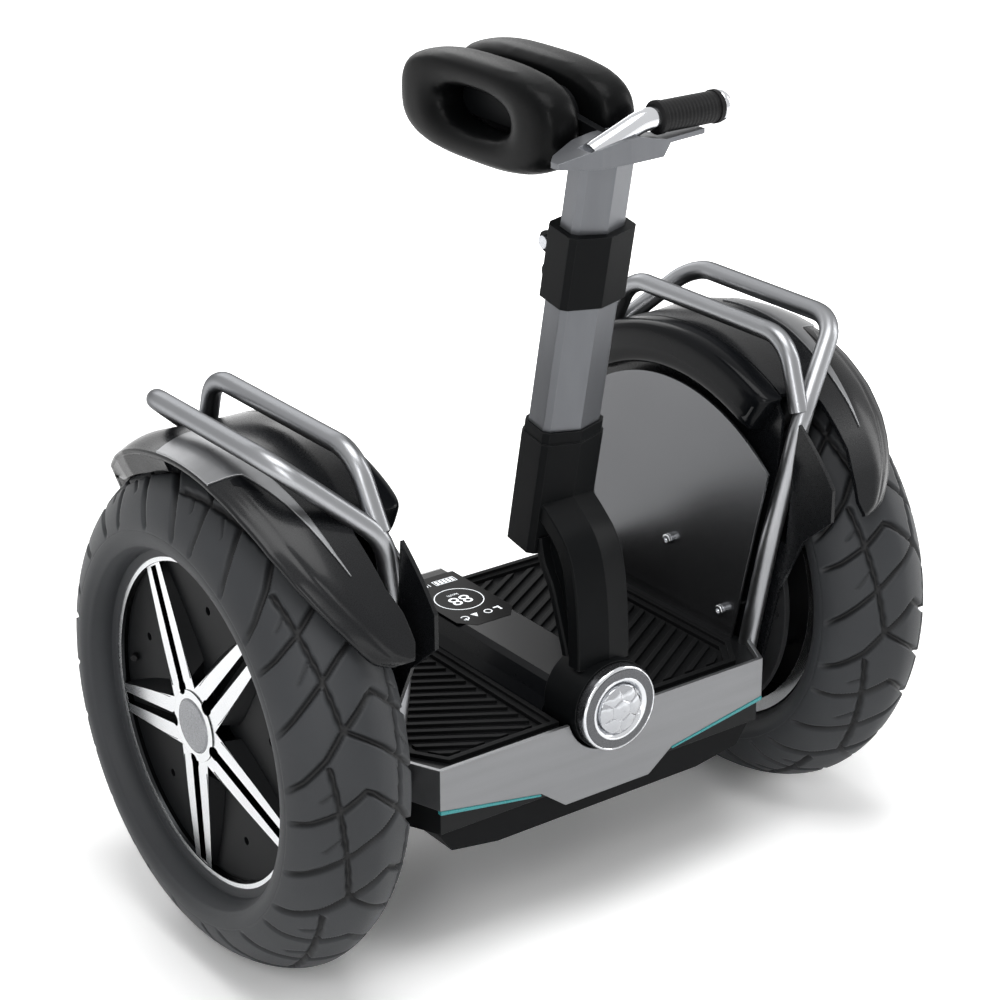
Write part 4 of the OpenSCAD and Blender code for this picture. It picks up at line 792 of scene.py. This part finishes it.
def lamp_dome():
    """Dome of the lamp: y = y0 + 9.5 (1 - sqrt(1 - 0.78 q^2)); its fields are six-sided cells,
    puffed a little, with a seam wherever two cell centres are equally near."""
    q = np.linspace(0.02, 1, 60)[:, None]
    a = np.arange(144)[None, :] * TAU / 144
    x, z = DOME_R * q * np.cos(a), DOME_R * q * np.sin(a)
    u, w = (x + 1.5) / CELL, (z - 1.0) / CELL
    centres = [(i + 0.5 * (j % 2), j * math.sqrt(3) / 2)
               for i in range(-3, 4) for j in range(-3, 4)]
    d = np.sort(np.array([np.hypot(u - cx, w - cz) for cx, cz in centres]), 0)
    off_seam = (d[1] - d[0]) * CELL / 2
    y = (LAMP_Y - 5.2 + 9.5 * (1 - np.sqrt(1 - 0.78 * q ** 2))
         + 0.8 * eased((1.1 - off_seam) / 1.1) - 0.7 * eased(off_seam / 6.0))
    face = np.stack([x, y, PIVOT_Z + z], -1)
    back = face[-1:].copy()
    back[..., 1] = LAMP_Y + 8.0
    return closed_grid(np.concatenate([face, back]))


made = piece("lamp_dome", [lamp_dome()], LAMP_GLASS, "column", sharp=60)
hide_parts("lamp_lens")
ring = [(28.6, 3.0), (29.4, 1.2), (30.5, 0.4), (38.6, 0.4), (39.6, 1.0), (40.4, 2.6), (42.0, 3.4),
        (42.0, 11.9), (28.6, 11.9)]
made = piece("lamp_ring", [turned(ring, *LAMP_AXIS, 128)], RING_GREY, "column",
             sharp=30)
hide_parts("lamp_bezel")
inner_bevel = [(24.3, 5.0), (25.2, 3.0), (27.4, 1.0), (29.2, -0.4), (30.8, -0.2), (31.2, 0.8),
               (29.0, 4.0), (28.0, 8.0), (24.3, 8.0)]
outer_bevel = [(39.4, 1.2), (40.2, 0.4), (41.4, 0.9), (42.4, 2.4), (42.4, 3.8), (40.6, 3.8)]
piece("lamp_trim", [turned(bevel, *LAMP_AXIS, 128) for bevel in (inner_bevel, outer_bevel)],
      CHROME, "column", sharp=50)

# Handle -----------------------------------------------------------------------

BAR_Y, BAR_Z, BAR_R = -168.0, 778.0, 10.0
GRIP_FROM, GRIP_L, GRIP_R, COLLAR_R, RIBS = 36.0, 69.8, 14.0, 15.0, 17


def handle_parts():
    """Bent bar of one radius, and a turned end cap past the grip."""
    path = rounded_path([(-33, BAR_Y, BAR_Z - 21), (22, BAR_Y, BAR_Z), (107, BAR_Y, BAR_Z)], [50])
    cap = [(0.01, 0), (13.5, 0), (14.2, 1.6), (13.8, 4.6), (12.2, 7.6), (9.4, 9.8), (5.6, 11.2),
           (0.01, 11.7)]
    return [swept(fine(path, 6), BAR_R), turned(cap, (106, BAR_Y, BAR_Z), (1, 0, 0), 48)]


made = piece("handle_bar", handle_parts(), CHROME, "mast", sharp=50)
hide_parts("handle_tube")


def grip_skin():
    """Rubber grip: collars at both ends and faint ribs between, 0.1 mm proud."""
    x = np.linspace(0, GRIP_L, 420)
    r = GRIP_R + 0.10 * eased(np.sin(x / GRIP_L * TAU * RIBS) * 2.0 + 0.5)
    for collar in (2.8, GRIP_L - 2.8):
        r = np.maximum(r, COLLAR_R * (np.abs(x - collar) < 2.6))
    r = r - 1.2 * (1 - eased(x / 1.2)) - 1.2 * (1 - eased((GRIP_L - x) / 1.2))
    bore = BAR_R + 0.02
    outline = np.column_stack([np.concatenate([r, [bore, bore]]),
                               np.concatenate([x, [GRIP_L, 0]])])
    return turned(outline, (GRIP_FROM, BAR_Y, BAR_Z), (1, 0, 0), 64)


made = piece("grip_skin", [grip_skin()], GRIP_RUBBER, "mast", sharp=60)
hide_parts("handle_grip")

# Knee pads --------------------------------------------------------------------

PAD_L, PAD_H, PAD_T = 240.0, 100.0, 50.0
PAD_X, PAD_Y, PAD_Z = 31.0, -16.0, 765.0
HOLE_L, HOLE_H = 100.0, 33.0


def super_oval(a, b, p, t):
    """Super-ellipse: a sgn(cos t) |cos t|^(2/p), b sgn(sin t) |sin t|^(2/p)."""
    c, s = np.cos(t), np.sin(t)
    return a * np.sign(c) * np.abs(c) ** (2 / p), b * np.sign(s) * np.abs(s) ** (2 / p)


def pad_ring(side, shrink):
    """Cushion ring: t goes round between an outer and an inner oval, s goes round the roll,
    whose section is a rounded box. It is made smaller all round where it swells afterwards."""
    t = (np.arange(220) * TAU / 220)[:, None]
    s = ((np.arange(72) + 0.5) * TAU / 72)[None, :]
    oy, oz = super_oval(PAD_L / 2 - shrink, PAD_H / 2 - shrink, 3.0, t)
    iy, iz = super_oval(HOLE_L / 2 + shrink, HOLE_H / 2 + shrink, 2.3, t)
    c = np.sign(np.cos(s)) * np.abs(np.cos(s)) ** 0.70
    w = np.sign(np.sin(s)) * np.abs(np.sin(s)) ** 0.62
    half = PAD_T / 2 - shrink
    y = PAD_Y + (oy + iy) / 2 + (oy - iy) / 2 * c
    z = PAD_Z + (oz + iz) / 2 + (oz - iz) / 2 * c
    x = np.broadcast_to(PAD_X + half * w, y.shape)
    return closed_grid(np.stack([side * x, y, z], -1), wrap_rows=True)


def plumped(made, pressure, cap, frames=20):
    """Swells a pad by a short cloth run: remeshed, blown up without gravity, and each point held
    within cap of where it began."""
    bpy.context.view_layer.objects.active = made
    remesh = made.modifiers.new("even", "REMESH")
    remesh.mode, remesh.voxel_size = "VOXEL", 5 * MM
    bake(made)
    start = coordinates(made.data)
    cloth = made.modifiers.new("swell", "CLOTH")
    settings = cloth.settings
    settings.use_pressure, settings.uniform_pressure_force = True, pressure
    settings.effector_weights.gravity = 0
    settings.tension_stiffness, settings.bending_stiffness = 30, 3
    cloth.point_cache.frame_start, cloth.point_cache.frame_end = 1, frames
    for f in range(1, frames + 1):
        SCENE.frame_set(f)
    bake(made)
    SCENE.frame_set(1)
    move = coordinates(made.data) - start
    size = np.linalg.norm(move, axis=1, keepdims=True)
    move *= np.minimum(1, cap * MM / np.maximum(size, 1e-9))
    made.data.vertices.foreach_set("co", (start + move).astype(np.float32).ravel())
    made.data.update()
    finer = made.modifiers.new("finer", "SUBSURF")
    finer.levels = finer.render_levels = 1
    bake(made)
    made.data.shade_smooth()


def bake(made):
    """Applies the piece's modifiers to its mesh."""
    graph = bpy.context.evaluated_depsgraph_get()
    graph.update()
    mesh = bpy.data.meshes.new_from_object(made.evaluated_get(graph))
    old = made.data
    made.modifiers.clear()
    made.data = mesh
    bpy.data.meshes.remove(old)


for word, side in SIDES:
    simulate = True
    made = piece("pad_cushion_" + word, [pad_ring(side, 3.0 if simulate else 0.6)], LEATHER,
                 "mast", sharp=80)
    if simulate:
        plumped(made, 4.0, 3.2)
    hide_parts("knee_pad_" + word)

# Display ----------------------------------------------------------------------

GLASS_TOP = 240.25


def on_display(made):
    """Lays flat marks on the display; the rider reads them from behind, so they turn by 180."""
    mesh = made.data
    co = coordinates(mesh) * np.array([-1, -1, 1], np.float32)
    mesh.vertices.foreach_set("co", co.ravel())
    mesh.update()
    mesh.materials.clear()
    mesh.materials.append(SIGN_WHITE)
    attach(made, "chassis")


def words(name, text, size, x, y):
    """Generic display characters as a thin solid mesh, centred on x and y as the rider sees
    them."""
    curve = bpy.data.curves.new(name, "FONT")
    curve.body, curve.size = text, size * MM
    curve.align_x, curve.align_y = "CENTER", "CENTER"
    curve.extrude = 0.08 * MM
    holder = placed(name, curve)
    bpy.context.view_layer.update()
    mesh = bpy.data.meshes.new_from_object(holder)
    bpy.data.objects.remove(holder)
    mesh.transform(Matrix.Translation((x * MM, y * MM, GLASS_TOP * MM)))
    on_display(placed(name, mesh))


def marks(name, parts):
    """Thin plates for the display, each an outline that stands 0.08 mm out of the glass."""
    solids = []
    for outline in parts:
        o = np.array(outline, float) * np.array([-1, -1])
        low = np.column_stack([o, np.full(len(o), GLASS_TOP - 0.05)])
        high = np.column_stack([o, np.full(len(o), GLASS_TOP + 0.08)])
        solids.append(closed_grid(np.array([low, high])))
    piece(name, solids, SIGN_WHITE, "chassis")


def box_outline(x, y, w, h):
    return [(x + i * w / 2, y + j * h / 2) for i, j in ((-1, -1), (1, -1), (1, 1), (-1, 1))]


def ring_band(x, y, r, width, start=0.0, end=360.0, n=40):
    """A flat arc as short quads round (x, y)."""
    a = np.radians(np.linspace(start, end, n))
    out = []
    for a0, a1 in zip(a[:-1], a[1:]):
        out.append([(x + q * math.cos(b), y + q * math.sin(b)) for q, b in
                    ((r, a0), (r, a1), (r - width, a1), (r - width, a0))])
    return out


# the rider's view has its top at the front: y here is minus the row's Y
words("digits_speed", "88", 25, 0, -78)
words("digits_unit", "km/h", 6.5, 0, -91.5)
words("digits_charge", "100%", 8.5, 13, -124)
marks("dial_ring", ring_band(0, -80, 25.5, 1.1))
marks("charge_bars", [box_outline(-22 + k * 4.6, -124, 3.2, 7.5) for k in range(5)]
      + [box_outline(-12.8, -119.2, 25.5, 0.8), box_outline(-12.8, -128.8, 25.5, 0.8),
         box_outline(-25.4, -124, 0.8, 10.2), box_outline(-0.2, -124, 0.8, 10.2)])
icons = [box_outline(-21, -40, 2.2, 8), box_outline(-18.5, -43, 6.5, 2.2)]
icons += ring_band(-7, -40, 4.6, 1.3, n=20)
icons += [[(4, -44), (12, -44), (8, -36)]]
icons += ring_band(21, -40, 4.6, 1.3, 40, 320, 18) + [box_outline(21, -36.5, 1.4, 5)]
marks("dial_icons", icons)

# Small fittings ---------------------------------------------------------------


def socket_head(centre, axis, r=5.4, h=3.4, rounding=0.9):
    """Turned screw head with a rounded rim and a sunk well for the key."""
    turn = np.linspace(0, math.pi / 2, 7)
    rim = [(r - rounding * (1 - math.cos(a)), h - rounding * (1 - math.sin(a))) for a in turn]
    well = [(r * 0.5, h), (r * 0.48, h - 1.8), (0.01, h - 1.8), (0.01, 0)]
    return turned([(r, 0), *rim, *well], centre, axis, 36)


heads = [socket_head((side * 200.2, y, z), (-side, 0, 0)) for _, side in SIDES
         for y, z in ((-5, 284), (-88, 236), (88, 236))]
piece("panel_screw_heads", heads, CHROME, "chassis", sharp=40)

# Stage ------------------------------------------------------------------------


def joined(tree, kind, first, second, **settings):
    """A node that joins two others' sockets, as its output."""
    made = add(tree.nodes, kind, **settings)
    tree.links.new(first, made.inputs[0])
    tree.links.new(second, made.inputs[1])
    return made.outputs[0]


def seen_rays(tree):
    """1 for camera, glossy and transmission rays, and 0 for the rays that carry light."""
    path = add(tree.nodes, "LightPath")
    seen = path.outputs["Is Camera Ray"]
    for name in ("Is Glossy Ray", "Is Transmission Ray"):
        seen = joined(tree, "Math", seen, path.outputs[name], operation="MAXIMUM")
    return seen


def floor_finish():
    """Pale floor. Rays that look at it see a second pale layer, so that it reads as white but
    keeps the shadow, and far from the object it fades into the white of the backdrop."""
    made = bpy.data.materials.new("floor_white")
    made.use_nodes = True
    tree = made.node_tree
    nodes, links = tree.nodes, tree.links
    nodes.remove(nodes["Principled BSDF"])
    seen = seen_rays(tree)
    base, nothing, extra = (add(nodes, "BsdfDiffuse", {"Color": (v, v, v, 1)}).outputs[0]
                            for v in (0.82, 0.0, 0.62))
    choice = add(nodes, "MixShader")
    for socket, source in enumerate((seen, nothing, extra)):
        links.new(source, choice.inputs[socket])
    pale = joined(tree, "AddShader", base, choice.outputs[0])
    away = add(nodes, "VectorMath", operation="LENGTH")
    links.new(add(nodes, "TexCoord").outputs["Object"], away.inputs[0])
    fade = add(nodes, "MapRange", {"From Min": 0.75, "From Max": 1.9},
               interpolation_type="SMOOTHSTEP")
    links.new(away.outputs["Value"], fade.inputs["Value"])
    white = add(nodes, "Emission", {"Color": (1, 1, 1, 1)})
    links.new(joined(tree, "Math", fade.outputs["Result"], seen, operation="MULTIPLY"),
              white.inputs["Strength"])
    links.new(joined(tree, "AddShader", pale, white.outputs[0]),
              nodes["Material Output"].inputs["Surface"])
    return made


def floor():
    """A wide square floor; the world beyond it has the same white."""
    mesh = bpy.data.meshes.new("floor")
    s = 30.0
    mesh.from_pydata([(-s, -s, 0), (s, -s, 0), (s, s, 0), (-s, s, 0)], [], [(0, 1, 2, 3)])
    mesh.materials.append(floor_finish())
    placed("floor", mesh)


def soft_box(name, place, width, height, power):
    """A white area light that looks at AIM."""
    data = bpy.data.lights.new(name, "AREA")
    data.shape, data.size, data.size_y, data.energy = "RECTANGLE", width, height, power
    made = placed(name, data)
    made.location = place
    made.rotation_euler = (AIM - Vector(place)).to_track_quat("-Z", "Y").to_euler()


def world_light(strength):
    """Even studio light; rays that look at the world see a white room."""
    world = bpy.data.worlds.new("studio")
    SCENE.world = world
    world.use_nodes = True
    tree = world.node_tree
    back = tree.nodes["Background"]
    back.inputs["Color"].default_value = (1, 1, 1, 1)
    mix = add(tree.nodes, "Mix", {2: strength, 3: 1.0}, data_type="FLOAT")
    tree.links.new(seen_rays(tree), mix.inputs[0])
    tree.links.new(mix.outputs[0], back.inputs["Strength"])


AIM = Vector((0, 0, 0.4))
floor()
world_light(0.32)
soft_box("top_box", (-0.2, -0.3, 2.9), 1.7, 1.7, 46)
soft_box("front_left_box", (-2.4, -2.2, 1.9), 0.8, 2.2, 38)
soft_box("right_box", (2.7, -0.9, 1.5), 0.7, 2.2, 28)
soft_box("back_box", (0.6, 2.7, 1.9), 2.4, 1.2, 22)

# The photo's camera, solved from the wheels, the column and the deck's corners.
EYE, LOOKS_AT = Vector((-1.3331, -1.8248, 1.3270)), Vector((-0.00455, 0.00323, 0.37506))
ROLL = math.radians(-0.22)
camera_data = bpy.data.cameras.new("camera")
camera_data.lens, camera_data.sensor_width = 92.06, 36.0
camera = placed("camera", camera_data)
level = (EYE - LOOKS_AT).to_track_quat("Z", "Y").to_matrix()
camera.matrix_world = (Matrix.Translation(EYE)
                       @ (level @ Matrix.Rotation(ROLL, 3, "Z")).to_4x4())
SCENE.camera = camera
SCENE.view_settings.view_transform = "Standard"
